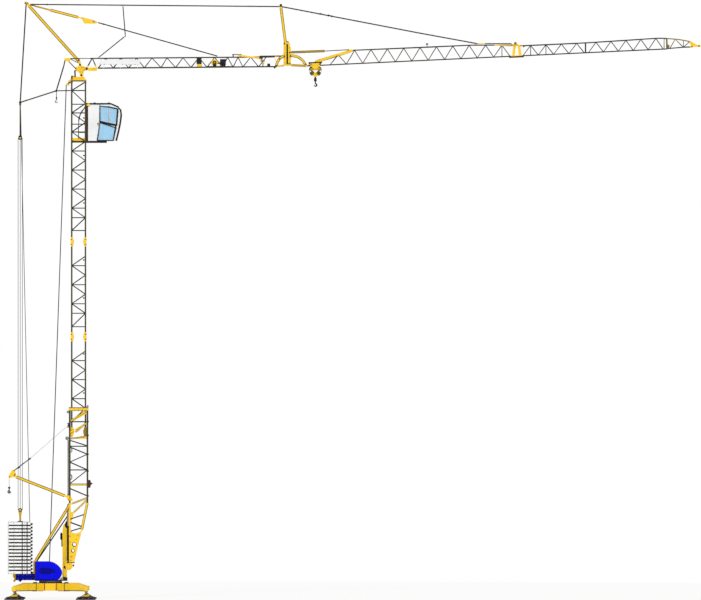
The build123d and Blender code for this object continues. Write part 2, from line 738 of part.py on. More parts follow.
def cab_shell():
    """Hollow cab with its side, front and rear windows and its rear door cut through."""
    shell = plate(CAB_OUTLINE, (-CAB_HALF, CAB_HALF))
    hollow = plate(CAB_INSIDE, (-CAB_HALF + CAB_WALL, CAB_HALF - CAB_WALL))
    cuts = [hollow]
    cuts += [plate(window, (-CAB_HALF - 5, CAB_HALF + 5))
             for window in (UPPER_WINDOW, FRONT_WINDOW, LOWER_WINDOW)]
    cuts.append(box((2250, 2600), (-CAB_HALF + 45, CAB_HALF - 45), WINDSCREEN))
    cuts.append(box((CAB_REAR - 5, CAB_REAR + 30), *REAR_WINDOW))
    cuts.append(box((CAB_REAR - 5, CAB_REAR + 30), *CAB_DOOR))
    return shell.cut(*cuts).solids()


def cab_side_glass():
    """Panes of the side windows, set in the middle of the wall."""
    panes = []
    for side in (-1, 1):
        middle = side * (CAB_HALF - CAB_WALL / 2)
        span = (middle - PANE / 2, middle + PANE / 2)
        panes += [plate(window, span) for window in (UPPER_WINDOW, FRONT_WINDOW, LOWER_WINDOW)]
    return panes


def cab_front_glass():
    """Curved front pane behind the front opening's edges."""
    low, high = WINDSCREEN
    outer = [(2340, low), (2424, cab_level(0.254)), (2484, cab_level(0.474)), (2524, cab_level(0.695)),
             (2505, high)]
    inner = [(x - PANE, z) for x, z in reversed(outer)]
    return [plate(outer + inner, (-CAB_HALF + 45, CAB_HALF - 45))]


def cab_glass():
    """All the panes: sides, curved front and rear."""
    rear = box((CAB_REAR + 8, CAB_REAR + 16), *REAR_WINDOW)
    return cab_side_glass() + cab_front_glass() + [rear]


def cab_door():
    """Closed door in the rear wall, under the rear window."""
    return [box((CAB_REAR + 4, CAB_REAR + 22), *CAB_DOOR)]


def cab_roof():
    """Dark roof panel with its forward slope and two lamps."""
    rear = MAST_X + 270
    top = CAB_ROOF + 38
    front = cab_level(0.905)
    outline = [(rear, CAB_ROOF), (2155, CAB_ROOF), (2415, front), (2440, front + 25), (2165, top), (rear, top)]
    lamps = [box((x - 35, x + 35), (-40, 40), (top, top + 27)) for x in (1570, 2080)]
    return fused([plate(outline, (-CAB_HALF + 10, CAB_HALF - 10)), *lamps])


def cab_beams():
    """Floor beams under the cab that are carried by the mast."""
    rear = MAST_X + INNER_HALF + INNER_CHORD / 2
    beams = [box((rear, 2005), (y - 25, y + 25), (CAB_FLOOR - 70, CAB_FLOOR)) for y in (-INNER_HALF, INNER_HALF)]
    cross = [box((x - 25, x + 25), (-INNER_HALF - 25, INNER_HALF + 25), (CAB_FLOOR - 70, CAB_FLOOR))
             for x in (CAB_REAR + 30, 1950)]
    return fused(beams + cross)


def cab_rail():
    """Upright rails between the mast's front chords and the rear of the cab."""
    face = MAST_X + INNER_HALF + INNER_CHORD / 2
    rails = []
    for y in (-INNER_HALF, INNER_HALF):
        upright = box((face, CAB_REAR), (y - 20, y + 20), (CAB_FLOOR, CAB_FLOOR + 90))
        top = box((face, CAB_REAR), (y - 20, y + 20), (CAB_ROOF - 130, CAB_ROOF - 60))
        rail = box((face + 28, face + 62), (y - 20, y + 20), (CAB_FLOOR, CAB_ROOF - 60))
        rails += fused([upright, top, rail])
    return rails


def cab_platform():
    """Tread plate with toe boards inside the mast, behind the cab."""
    half = INNER_HALF - BRACE / 2
    floor = box((MAST_X - half, MAST_X + half), (-half, half), (CAB_FLOOR - 20, CAB_FLOOR))
    rims = square_ring(half, half - 12, (CAB_FLOOR, CAB_FLOOR + 105))
    corner = INNER_HALF - INNER_CHORD / 2
    piece = floor.fuse(rims)
    cuts = [box(sorted((MAST_X + sx * corner, MAST_X + sx * 400)), sorted((sy * corner, sy * 400)),
                (CAB_FLOOR - 30, CAB_FLOOR + 120)) for sx in (-1, 1) for sy in (-1, 1)]
    return piece.cut(*cuts).solids()


def cab_guard():
    """Hooped safety rails inside the mast, from the platform up."""
    base, top = CAB_FLOOR, 17560
    front = MAST_X + INNER_HALF - BRACE / 2
    hoops = []
    for y in (-150, 150):
        rises = [(MAST_X, base), (MAST_X, 17180), (MAST_X + 95, 17430), (front, top)]
        for (xa, za), (xb, zb) in zip(rises, rises[1:]):
            hoops.append(bar((xa, y, za), (xb, y, zb), 16))
        for z in (16665, 16960):
            hoops.append(bar((MAST_X, y, z), (front, y, z), 16))
    for z in (16665, 16960, 17180):
        hoops.append(bar((MAST_X, -158, z), (MAST_X, 158, z), 16))
    return fused(hoops)


HEAD_HALF = 150
HEAD_PLATE = 16
STRUT_HALF = 100


def head_pair(outline, half=HEAD_HALF, thick=HEAD_PLATE):
    """The same plate on both sides of the mast head."""
    return [plate(outline, (side * half - thick / 2, side * half + thick / 2)) for side in (-1, 1)]


ARM_Y = 50
ARM_WIDTH = 36


def mast_head():
    """Top frame of the mast with the plates that carry the jib's pivot, and the rope arm behind."""
    z = INNER_TOP
    wide = INNER_HALF + INNER_CHORD / 2 + 8
    frame = square_ring(wide, wide - 70, (z, z + 26))
    beams = [box((MAST_X - wide, MAST_X + wide), (y - 30, y + 30), (z, z + 26)) for y in (-HEAD_HALF, HEAD_HALF)]
    bases = head_pair([(860, z + 26), (1255, z + 26), (1180, z + 150), (1040, z + 130), (900, z + 130)])
    arm = [bar((835, y, z + 120), (620, y, 18420), ARM_WIDTH) for y in (-ARM_Y, ARM_Y)]
    seat = [box((790, 880), (-HEAD_HALF - 8, HEAD_HALF + 8), (z + 26, z + 130))]
    return fused([frame, *beams, *bases, *arm, *seat])


def rope_pulley():
    """Pulley at the end of the rear rope arm."""
    side = ARM_Y - ARM_WIDTH / 2 - ROPE_GAP
    return [disc(620, (-side, side), 18395, 52)]


def head_pivot():
    """Star-shaped plates between the mast head, the jib's foot and the strut."""
    star = [(1065, 19130), (1120, 19060), (1335, 18975), (1335, 18925), (1190, 18860), (1150, 18680),
            (1060, 18680), (1030, 18790), (880, 18920), (870, 18985), (1000, 19040), (1030, 19130)]
    inner = HEAD_HALF - HEAD_PLATE - 2
    pieces = head_pair(star, inner)
    pieces += [disc(x, (-HEAD_HALF + 9, HEAD_HALF - 9), z, 26) for x, z in ((1100, 18715), (1050, 19095))]
    pieces.append(disc(1300, (-JIB_HALF - 12, JIB_HALF + 12), 18950, 24))
    return fused(pieces)


def rear_arm():
    """Arm behind the head that holds the link rod, with its top bar and sloping bar."""
    y = HEAD_HALF - HEAD_PLATE - 2
    pieces = []
    for side in (-y, y):
        pieces += [
            bar((505, side, 19310), (1040, side, 19310), 34),
            bar((620, side, 19240), (885, side, 18965), 34),
            bar((700, side, 19300), (1000, side, 19150), 26),
            plate([(500, 19325), (705, 19325), (700, 19230), (620, 19205), (560, 19225), (500, 19240)],
                  (side - 10, side + 10)),
        ]
    pieces += [bar((520, -y, 19300), (520, y, 19300), 40), bar((640, -y, 19240), (640, y, 19240), 36)]
    return fused(pieces)


def strut():
    """Counter strut that leans back over the mast: two legs with cross bars."""
    foot, tip = (1010, 19215), (-785, 21210)
    pieces = []
    for y in (-STRUT_HALF, STRUT_HALF):
        pieces.append(bar((foot[0], y, foot[1]), (tip[0], y, tip[1]), 60, 90))
    for share in (0.02, 0.3, 0.6, 0.97):
        x = foot[0] + share * (tip[0] - foot[0])
        z = foot[1] + share * (tip[1] - foot[1])
        pieces.append(bar((x, -STRUT_HALF, z), (x, STRUT_HALF, z), 44))
    tip_plate = [(-720, 21150), (-700, 21240), (-800, 21290), (-860, 21330), (-905, 21340), (-905, 21280),
                 (-850, 21220), (-790, 21140)]
    pieces += [plate(tip_plate, (y - 10, y + 10)) for y in (-STRUT_HALF, STRUT_HALF)]
    pieces.append(disc(-872, (-STRUT_HALF, STRUT_HALF), 21305, 26))
    pieces.append(bar((tip[0], -STRUT_HALF, tip[1]), (tip[0], STRUT_HALF, tip[1]), 60))
    foot_plate_outline = [(960, 19280), (1030, 19330), (1085, 19150), (1020, 19110)]
    pieces += [plate(foot_plate_outline, (y - 12, y + 12)) for y in (-STRUT_HALF, STRUT_HALF)]
    return fused(pieces)


def rear_link():
    """Bars behind the mast that lead the rear stay up to the strut and in to the mast."""
    joint = (STAY_X, 0, 17745)
    node = (205, 0, 18160)
    mast_face = MAST_X - INNER_HALF - BRACE / 2
    pieces = [
        bar((STAY_X, 0, STAY_HIGH_Z + 85), joint, 46),
        bar((STAY_X, 0, 17640), joint, 70),
        disc(STAY_X, (-45, 45), joint[2], 48),
        bar(joint, node, 46),
        disc(node[0], (-60, 60), node[2], 42),
        rod(joint, (-872, 0, 21280), 20),
        rod(node, (480, 0, 19080), 20),
        bar((475, 0, 19055), (520, 0, 19290), 44),
        rod(node, (212, 0, 17850), 12),
        plate(hook_outline(205, 17730, 130), (-11, 11)),
        disc(STAY_X + 15, (0, 75), 17500, 10),
    ]
    pieces += [bar((node[0], y, node[2]), (mast_face, y, 18170), 22) for y in (-45, 45)]
    return fused(pieces)


def upper_block():
    """Upper pulley block of the rear stay: two sheaves between cheek plates."""
    z = STAY_HIGH_Z
    cheeks = [box((STAY_X - 60, STAY_X + 60), (y - 6, y + 6), (z - 60, z + 85)) for y in (-36, 36)]
    sheaves = [disc(STAY_X, (y - 10, y + 10), z, STAY_SHEAVE) for y in (-16, 16)]
    axle = disc(STAY_X, (-42, 42), z, 16)
    crown = box((STAY_X - 40, STAY_X + 40), (-42, 42), (z + 68, z + 85))
    return fused([*cheeks, *sheaves, axle, crown])


def rear_ropes():
    """Falls of the rear stay between the two pulley blocks."""
    offset = STAY_SHEAVE + ROPE_RADIUS + ROPE_GAP
    end = STAY_SHEAVE + ROPE_GAP
    falls = []
    for x in (STAY_X - offset, STAY_X + offset):
        for y in (-16, 16):
            falls.append(rod((x, y, STAY_LOW_Z), (x, y, STAY_HIGH_Z), ROPE_RADIUS))
    falls.append(rod((STAY_X, 16, STAY_LOW_Z + end), (STAY_X, 16, STAY_HIGH_Z - end), ROPE_RADIUS))
    return falls


def hoist_rope():
    """Hoist rope from the arm's pulley down into the machinery housing."""
    return [rod((560, 0, 18380), (-40, 0, COVER_TOP - 0.6), ROPE_RADIUS)]


def control_line():
    """Thin taut line from the peg on the rear link down to the ballast."""
    return [rod((STAY_X + 15, 62, 17490 - 2 * ROPE_GAP), (-745, 62, ballast_top() + ROPE_GAP), 5)]


def top_tie():
    """Twin tie bars from the strut's tip to the king post, with their node plates."""
    start, end = (-800, 21248), (8225, 21168)
    pieces = []
    for y in (-TIE_HALF, TIE_HALF):
        pieces.append(rod((start[0], y, start[1]), (end[0], y, end[1]), TIE_RADIUS))
    for x in (980, 2580, 7155):
        z = start[1] + (end[1] - start[1]) * (x - start[0]) / (end[0] - start[0])
        pieces.append(box((x - 60, x + 60), (-TIE_HALF - 14, TIE_HALF + 14), (z - 24, z + 24)))
    knee = (2670, 0, 20120)
    pieces.append(rod((2580, 0, 21220), knee, 9))
    pieces.append(rod(knee, (1700, 0, 19338), 9))
    pieces.append(disc(knee[0], (-14, 14), knee[2], 22))
    return fused(pieces)


def lower_tie():
    """Stay from the strut's tip down to the inner jib: a stout tube, a bracket, then a rod."""
    start, fall = (-790, 21246), -0.2594
    c = (5955, 19400)
    pieces = []
    for y in (-35, 35):
        for first, last, deep in ((start[0], 0, 34), (-20, 1000, 88), (980, 1150, 44)):
            ends = [(x, y, start[1] + fall * (x - start[0])) for x in (first, last)]
            pieces.append(bar(*ends, 34, deep))
        pieces.append(rod((1640, y, 20612), (c[0], y, c[1]), 14))
    bracket = [(1089, 20800), (1489, 20700), (1600, 20660), (1718, 20600), (1614, 20560), (1204, 20560),
               (1130, 20690)]
    pieces.append(plate(bracket, (-50, 50)))
    pieces.append(disc(1546, (-62, 62), 20640, 24))
    pieces.append(bar((c[0] - 120, 0, c[1] + 34), (c[0], 0, c[1]), 90, 40))
    return fused(pieces)


def inner_top(x):
    return 19315 + 0.0085 * (x - 1345)


def inner_bottom(x):
    return inner_top(x) - 350


def rail_z(x):
    """Height of the bottom chords, which the trolley's rails follow, along the outer jib."""
    return JIB_START_Z + JIB_SLOPE * (x - JIB_START_X)


def chord(points, y, width):
    """Chord through the (x, z) points, made of straight bars."""
    return [bar((xa, y, za), (xb, y, zb), width) for (xa, za), (xb, zb) in zip(points, points[1:])]


def girder(nodes, top_at, bottom_at, first_is_bottom=True):
    """Braces of a three-chord girder: both sloping sides and the level underside."""
    pieces = []
    for i, (a, b) in enumerate(zip(nodes, nodes[1:])):
        low, high = (a, b) if (i % 2 == 0) == first_is_bottom else (b, a)
        for y in (-JIB_HALF, JIB_HALF):
            pieces.append(bar((low, y, bottom_at(low)), (high, 0, top_at(high)), JIB_BRACE))
    start = 0 if first_is_bottom else 1
    bottoms = nodes[start::2]
    for x in bottoms:
        pieces.append(bar((x, -JIB_HALF, bottom_at(x)), (x, JIB_HALF, bottom_at(x)), JIB_BRACE))
    side = 1
    for a, b in zip(bottoms, bottoms[1:]):
        pieces.append(bar((a, -side * JIB_HALF, bottom_at(a)), (b, side * JIB_HALF, bottom_at(b)), JIB_BRACE))
        side = -side
    return pieces


def rails(start, end):
    """Running ledges on the outer sides of the bottom chords."""
    pieces = []
    for side in (-1, 1):
        y = side * (JIB_HALF + JIB_CHORD / 2 + RAIL_WIDTH / 2 - 2)
        pieces.append(bar((start, y, rail_z(start)), (end, y, rail_z(end)), RAIL_WIDTH + 2, RAIL_THICKNESS))
    return pieces


def jib_inner():
    """Inner jib girder from the head to the elbow under the king post."""
    nodes = [1700, 1970, 2240, 2510, 2790, 3070, 3350, 3620, 3945, 4155, 4465, 4730, 5015, 5300, 5585,
             5855, 6155, 6320, 6515, 6695, 6870, 7145, 7430, 7700]
    pieces = chord([(1420, inner_top(1420)), (7990, inner_top(7990))], 0, JIB_CHORD)
    for y in (-JIB_HALF, JIB_HALF):
        pieces += chord([(1420, inner_bottom(1420)), (8080, inner_bottom(8080))], y, JIB_CHORD)
        pieces.append(bar((1300, y, 18985), (1480, 0, inner_top(1480)), JIB_BRACE + 6))
        pieces.append(bar((1500, 0, inner_top(1500)), (1640, y, inner_bottom(1640)), JIB_BRACE + 6))
    pieces += girder(nodes, inner_top, inner_bottom)
    return fused(pieces)


def jib_foot():
    """Wedge plates of the jib's foot, with the cross tube at the pivot."""
    low = inner_bottom(1420)
    wedge = [(1262, 18990), (1655, low - 17), (1640, low - 85), (1380, low - 90), (1262, 18910)]
    return [plate(wedge, (side * 212 - 12, side * 212 + 12)) for side in (-1, 1)]


def sign_board():
    """Blank board on the near side of the inner jib."""
    y = -JIB_HALF - JIB_CHORD / 2 - 12
    outline = [(1735, 19095), (1790, 19270), (5020 - 1800, 19270), (3180, 19090)]
    board = plate(outline, (y - 10, y))
    posts = [box((x - 10, x + 10), (y, -JIB_HALF - JIB_CHORD / 2), (inner_bottom(x) - 10, inner_bottom(x) + 150))
             for x in (1900, 2500, 3100)]
    return fused([board, *posts])


KING_Y = 150
KING_TAPER = 0.4
FOLD_START = 16430
FOLD_LENGTH = 420
BOLTED_START = 19085
BOLTED_LENGTH = 40
END_START = 21905
END_LENGTH = 95
END_PLATE = 12
FOLD_X = (FOLD_START, FOLD_START + FOLD_LENGTH)
BOLTED_X = (BOLTED_START, BOLTED_START + BOLTED_LENGTH)
END_X = (END_START, END_START + END_LENGTH)


def trolley_winch():
    """Trolley winch hung in the inner jib: ringed drum, motor and frame."""
    floor = inner_bottom(5855) + JIB_CHORD / 2
    bed = box((5560, 6500), (-JIB_HALF, JIB_HALF), (floor - 4, floor + 22))
    drum = disc(5855, (-100, 100), floor + 142, 92)
    rims = [disc(5855, span, floor + 142, 116) for span in ((-112, -100), (100, 112))]
    feet = [box((5800, 5910), span, (floor + 22, floor + 142)) for span in ((-124, -112), (112, 124))]
    motor = rod((6040, 0, floor + 120), (6260, 0, floor + 120), 66)
    cradle = box((6060, 6240), (-66, 66), (floor + 22, floor + 90))
    link = rod((5960, 0, floor + 120), (6040, 0, floor + 120), 24)
    return fused([bed, drum, *rims, *feet, motor, cradle, link])


def jib_cabinet():
    """Small control cabinet inside the inner jib."""
    floor = inner_bottom(5310) + JIB_CHORD / 2
    bed = box((5225, 5395), (-JIB_HALF, JIB_HALF), (floor - 4, floor + 14))
    return fused([bed, box((5225, 5395), (-110, 110), (floor, floor + 205))])


def fold_gear():
    """Small drive and guide pulley in the inner jib, beside the elbow."""
    floor = inner_bottom(7790) + JIB_CHORD / 2
    bed = box((7720, 7860), (-JIB_HALF, JIB_HALF), (floor - 4, floor + 14))
    drive = box((7740, 7840), (-60, 60), (floor, floor + 95))
    top = inner_top(7535)
    cheek = [(7490, top + 8), (7580, top + 8), (7562, top - 175), (7508, top - 175)]
    half = JIB_CHORD / 2
    hanger = [plate(cheek, sorted((side * half, side * (half + 8)))) for side in (-1, 1)]
    pulley = disc(7535, (-half + 2, half - 2), top - 140, 38)
    axle = disc(7535, (-half - 12, half + 12), top - 140, 10)
    return fused([bed, drive]) + fused([*hanger, pulley, axle])


def king_post():
    """Upright at the elbow that carries the outer ties: a box foot and two converging legs."""
    box_foot = [(8318, 19060), (8318, 19860), (8350, 19895), (8530, 19895), (8585, 19640), (8585, 19060)]
    slot = [(8425, 19130), (8480, 19130), (8480, 19830), (8425, 19830)]
    web = [(8360, 19100), (8540, 19100), (8540, 19860), (8360, 19860)]
    heel, tip = (8390, 19860), (8224, 21160)
    pieces = [plate(web, (-6, 6))]
    for y in (-KING_Y, KING_Y):
        side = plate(box_foot, (y - 15, y + 15)).cut(plate(slot, (y - 20, y + 20)))
        pieces.append(side)
        pieces.append(bar((heel[0], y, heel[1]), (tip[0], y * KING_TAPER, tip[1]), 50, 92))
    for x in (8375, 8520):
        pieces += [bar((x, -KING_Y, z), (x, KING_Y, z), 34) for z in (19100, 19860)]
    for share in (0.35, 0.68):
        x = heel[0] + share * (tip[0] - heel[0])
        z = heel[1] + share * (tip[1] - heel[1])
        half = KING_Y * (1 - share * (1 - KING_TAPER))
        pieces.append(bar((x, -half, z), (x, half, z), 24))
    pieces.append(disc(tip[0], (-TIE_HALF - 30, TIE_HALF + 30), 21215, 34))
    pieces.append(box((tip[0] - 32, tip[0] + 34), (-TIE_HALF - 20, TIE_HALF + 20), (21090, 21215)))
    return fused(pieces)


def elbow():
    """Frame under the king post that joins the inner jib to the outer one."""
    pieces = []
    for y in (-JIB_HALF, JIB_HALF):
        pieces.append(bar((8030, y, inner_bottom(8030)), (8330, y, 19080), JIB_CHORD))
        pieces.append(bar((8330, y, 19080), (8560, y, 19080), 44))
        pieces.append(bar((8560, y, 19080), (9150, y, rail_z(9150)), JIB_CHORD))
        arches = [[(8060, 19030), (8085, 19150), (8175, 19314), (8345, 19420)],
                  [(8560, 19420), (8810, 19385), (8985, 19270), (9125, 19070)]]
        for arch in arches:
            for (xa, za), (xb, zb) in zip(arch, arch[1:]):
                pieces.append(bar((xa, y * 0.8, za), (xb, y * 0.8, zb), 40, 66))
    for x, z in ((8065, 19020), (8345, 19080), (8560, 19080), (8860, 19065), (9120, 19060)):
        pieces.append(bar((x, -JIB_HALF, z), (x, JIB_HALF, z), 26))
    pieces.append(bar((7980, 0, inner_top(7980)), (8345, 0, 19420), JIB_CHORD))
    for x in (8345, 8560):
        pieces.append(bar((x, -0.8 * JIB_HALF, 19420), (x, 0.8 * JIB_HALF, 19420), 30))
    pieces.append(bar((7990, 0, inner_top(7990)), (8130, -JIB_HALF, 19000), 20))
    pieces.append(bar((7990, 0, inner_top(7990)), (8130, JIB_HALF, 19000), 20))
    return fused(pieces)


def elbow_rods():
    """Rods from the king post down to the outer jib's top chord, and back along the inner jib."""
    pieces = []
    for y in (-60, 60):
        pieces.append(bar((8560, y, 19535), (9800, y, 19580), 26, 54))
        pieces.append(rod((9790, y, 19580), (10660, y, 19628), 14))
    pieces.append(bar((8570, -KING_Y + 15, 19535), (8570, KING_Y - 15, 19535), 26))
    pieces.append(bar((10640, -70, 19627), (10640, 70, 19627), 20))
    return fused(pieces)


def inner_rods():
    """Bars on top of the inner jib's outer half, with the rod that leads on to the king post."""
    z = inner_top(6515) + 95
    pieces = [bar((6480, 0, z), (6830, 0, z), 50, 30), box((6500, 6540), (-20, 20), (inner_top(6520) + 17, z))]
    pieces += [bar((6680, y, z - 25), (7490, y, 19318), 22, 60) for y in (-27, 27)]
    pieces.append(bar((6700, -38, z - 25), (6700, 38, z - 25), 40))
    pieces.append(bar((7440, -38, 19392), (7440, 38, 19392), 30))
    pieces.append(bar((7440, 0, 19392), (7440, 0, inner_top(7440)), 30))
    pieces.append(rod((7440, 0, 19397), (8345, 0, 19405), 12))
    return fused(pieces)


def foot_rods():
    """Twin bars from the strut's foot to the start of the jib's top chord."""
    return [bar((1000, y, 19318), (1432, 0.1 * y, inner_top(1432)), 24) for y in (-96, 96)]


OUTER_TOP_POINTS = [(9330, 19120), (9480, 19200), (10780, 19605), (13550, 19720), (15030, 19790),
                    (FOLD_X[0], 19790)]
THIRD_TOP_POINTS = [(FOLD_X[1], 19770), (FOLD_X[1] + 145, 19775), (BOLTED_X[0], 19870)]
FOURTH_TOP_POINTS = [(BOLTED_X[1], 19872), (END_X[0] - 250, 20035), (END_X[0], 20035)]


def spaced(first, last, steps):
    """Evenly spaced places from first to last."""
    return [first + (last - first) * i / steps for i in range(steps + 1)]


def height_on(points, x):
    """Height at x on the line through the (x, z) points."""
    for (xa, za), (xb, zb) in zip(points, points[1:]):
        if x <= xb:
            return za + (zb - za) * (x - xa) / (xb - xa)
    return points[-1][1]


def jib_section(points, nodes, start, end):
    """A girder section of the outer jib with its rails, from the top chord's points and the nodes."""
    pieces = chord(points, 0, JIB_CHORD)
    for y in (-JIB_HALF, JIB_HALF):
        pieces.append(bar((start, y, rail_z(start)), (end, y, rail_z(end)), JIB_CHORD))
    pieces += rails(start, end)
    pieces += girder(nodes, lambda x: height_on(points, x), rail_z)
    return fused(pieces)


def jib_outer():
    nodes = spaced(9980, FOLD_X[0] - 20, 22)
    section = jib_section(OUTER_TOP_POINTS, nodes, JIB_START_X, FOLD_X[0])
    heel = []
    for y in (-JIB_HALF, JIB_HALF):
        heel.append(bar((9180, y, rail_z(9180)), (9480, 0, 19200), 30))
    heavy = bar((9480, 0, 19200), (10780, 0, 19605), 56, 92)
    x = FOLD_X[0] - 310
    upright = [bar((x, y, rail_z(x)), (x, 0, 19790), JIB_BRACE) for y in (-JIB_HALF, JIB_HALF)]
    return fused([*section, *heel, heavy, *upright])


def jib_third():
    nodes = spaced(FOLD_X[1] + 20, BOLTED_X[0] - 25, 8)
    section = jib_section(THIRD_TOP_POINTS, nodes, FOLD_X[1], BOLTED_X[0])
    uprights = [bar((x, y, rail_z(x)), (x, 0, height_on(THIRD_TOP_POINTS, x)), JIB_BRACE)
                for x in (nodes[1], nodes[3]) for y in (-JIB_HALF, JIB_HALF)]
    return fused([*section, *uprights])


def jib_fourth():
    nodes = spaced(BOLTED_X[1] + 85, END_X[0] - 25, 10)
    return jib_section(FOURTH_TOP_POINTS, nodes, BOLTED_X[1], END_X[0])


def cross_plate(x, z_low, z_high, half=JIB_HALF + JIB_CHORD / 2 + 1):
    """Three-cornered end plate of a jib section, between the two x values."""
    corners = [(x[0], -half, z_low), (x[0], half, z_low), (x[0], half, z_low + 40), (x[0], 30, z_high),
               (x[0], -30, z_high), (x[0], -half, z_low + 40)]
    window = [(x[0], -half + 90, z_low + 50), (x[0], half - 90, z_low + 50), (x[0], 0, z_high - 110)]
    solid = Solid.extrude(Face(Wire.make_polygon(corners)), Vector(x[1] - x[0], 0, 0))
    hole = Solid.extrude(Face(Wire.make_polygon(window)), Vector(x[1] - x[0], 0, 0))
    return solid.cut(hole)


def fold_joint():
    """Hinged joint where the outer half of the jib folds for transport."""
    a, b = FOLD_X
    pieces = rails(a, b)
    for y in (-JIB_HALF, JIB_HALF):
        pieces.append(bar((a, y, rail_z(a)), (b, y, rail_z(b)), 32, 44))
        pieces.append(bar((a + 95, y, rail_z(a)), (a + 145, 0, 19775), 16, 92))
        pieces.append(bar((b - 75, y, rail_z(b)), (a + 300, 0, 19775), 16, 92))
    pieces.append(bar((a, 0, 19790), (a + 240, 0, 19790), 90, 66))
    pieces.append(bar((a + 180, 0, 19785), (b, 0, 19770), 70, 50))
    for x in (a + 20, b - 20):
        pieces.append(bar((x, -JIB_HALF, rail_z(x)), (x, JIB_HALF, rail_z(x)), 30))
    pieces.append(plate([(a + 80, 19800), (a + 270, 19800), (a + 230, 19850), (a + 120, 19850)], (-60, 60)))
    pieces.append(disc(a + 170, (-70, 70), 19860, 42))
    return fused(pieces)


def bolted_joint():
    """Pair of end plates that are bolted together."""
    low = rail_z(BOLTED_X[0]) - 17
    top = THIRD_TOP_POINTS[-1][1] + 20
    return fused([cross_plate(BOLTED_X, low, top), *rails(*BOLTED_X)])


def jib_end():
    """Two end plates with a frame between them, where the tip arm is fastened."""
    low = rail_z(END_X[0]) - 17
    top = FOURTH_TOP_POINTS[-1][1] + 15
    plates = [cross_plate(x, low, top) for x in ((END_X[0], END_X[0] + END_PLATE), (END_X[1] - END_PLATE, END_X[1]))]
    tubes = [bar((END_X[0], y, z), (END_X[1], y, z), JIB_CHORD)
             for y, z in ((-JIB_HALF, low + 17), (JIB_HALF, low + 17), (0, top - 24))]
    return fused([*plates, *tubes, *rails(*END_X)])


def jib_tip():
    """Curved end arm beyond the last section, with its dark end block."""
    x = END_X[1]
    heel = rail_z(x) + 10
    nose = x + 900
    top = [(x, 20030), (x + 450, 19990), (x + 860, 19915), (x + 1090, 19775)]
    pieces = chord(top, 0, 40)
    for y in (-JIB_HALF, JIB_HALF):
        pieces.append(bar((x, y, heel), (nose, y * 0.3, 19740), JIB_CHORD))
        for low, high in ((120, 305), (600, 305), (600, 830)):
            share = low / 900
            foot = (x + low, y * (1 - 0.7 * share), heel + share * (19740 - heel))
            pieces.append(bar(foot, (x + high, 0, height_on(top, x + high)), JIB_BRACE))
    pieces.append(box((nose - 30, nose + 30), (-85, 85), (19715, 19765)))
    pieces.append(bar((nose, 0, 19745), (nose + 200, 0, 19765), 60, 50))
    return fused(pieces)


def tip_block():
    return [box((END_X[1] + 1100, END_X[1] + 1210), (-60, 60), (19725, 19800))]


def outer_tie():
    """Twin ties from the king post down to the fold joint, with node plates and end bars."""
    points = [(8245, 21168), (13105, 20235), (15235, 19845)]
    pieces = []
    for y in (-TIE_HALF, TIE_HALF):
        for (xa, za), (xb, zb) in zip(points, points[1:]):
            pieces.append(rod((xa, y, za), (xb, y, zb), TIE_RADIUS))
        pieces.append(bar((15215, y, 19845), (16460, y, 19845), 14, 34))
    for x in (9640, 9950, 10920, 13105, 15225):
        z = height_on(points, x)
        pieces.append(box((x - 55, x + 55), (-TIE_HALF - 12, TIE_HALF + 12), (z - 22, z + 22)))
    return fused(pieces)


def warning_light():
    """Lamp on a short stand on the outer jib."""
    x = 13445
    base = height_on(OUTER_TOP_POINTS, x) + JIB_CHORD / 2
    return fused([rod((x, 0, base), (x, 0, base + 75), 12), rod((x, 0, base + 75), (x, 0, base + 115), 32)])


TROLLEY_X = 9455
WHEEL_RADIUS = 34
WHEEL_GAP = 0.5
SIDE_Y = JIB_HALF + JIB_CHORD / 2 + RAIL_WIDTH + 8
TROLLEY_PLATE = 12
TROLLEY_SHEAVE_X = 140
TROLLEY_SHEAVE_Z = 18950
SHEAVE_RADIUS = 80


def trolley_point(x, lift):
    """Point over the rail at x, raised square to the rail by lift."""
    angle = math.atan(JIB_SLOPE)
    return (x - lift * math.sin(angle), rail_z(x) + lift * math.cos(angle))


def trolley_frame():
    """Side plates with their top bars, joined under the jib by cross tubes and the sheave cheeks."""
    x = TROLLEY_X
    outline = [(x - 230, 95), (x + 225, 95), (x + 225, 62), (x + 190, 20), (x + 30, -150), (x - 30, -150),
               (x - 190, 20), (x - 230, 62)]
    side = [trolley_point(px, lift) for px, lift in outline]
    pieces = [plate(side, sorted((s * SIDE_Y, s * (SIDE_Y + TROLLEY_PLATE)))) for s in (-1, 1)]
    width = SIDE_Y + 2
    for dx, lift in ((-45, -125), (45, -125)):
        px, pz = trolley_point(x + dx, lift)
        pieces.append(bar((px, -width, pz), (px, width, pz), 30))
    cheek = [(x - 190, -80), (x + 190, -80), (x + 190, -150), (x + 60, -170), (x - 60, -170), (x - 190, -150)]
    cheek = [trolley_point(px, lift) for px, lift in cheek]
    pieces += [plate(cheek, (y - 5, y + 5)) for y in (-40, 40)]
    return fused(pieces)


def trolley_wheels():
    """Four wheels that run on the jib's rails, on stub axles in the side plates."""
    lift = RAIL_THICKNESS / 2 + WHEEL_RADIUS + WHEEL_GAP
    rail_y = JIB_HALF + JIB_CHORD / 2 + 8
    wheels = []
    for dx in (-150, 150):
        px, pz = trolley_point(TROLLEY_X + dx, lift)
        for s in (-1, 1):
            wheels.append(disc(px, sorted((s * rail_y, s * SIDE_Y)), pz, WHEEL_RADIUS))
    return wheels


def trolley_sheaves():
    sheaves = []
    for dx in (-TROLLEY_SHEAVE_X, TROLLEY_SHEAVE_X):
        sheaves.append(disc(TROLLEY_X + dx, (-35, 35), TROLLEY_SHEAVE_Z, SHEAVE_RADIUS))
    return sheaves


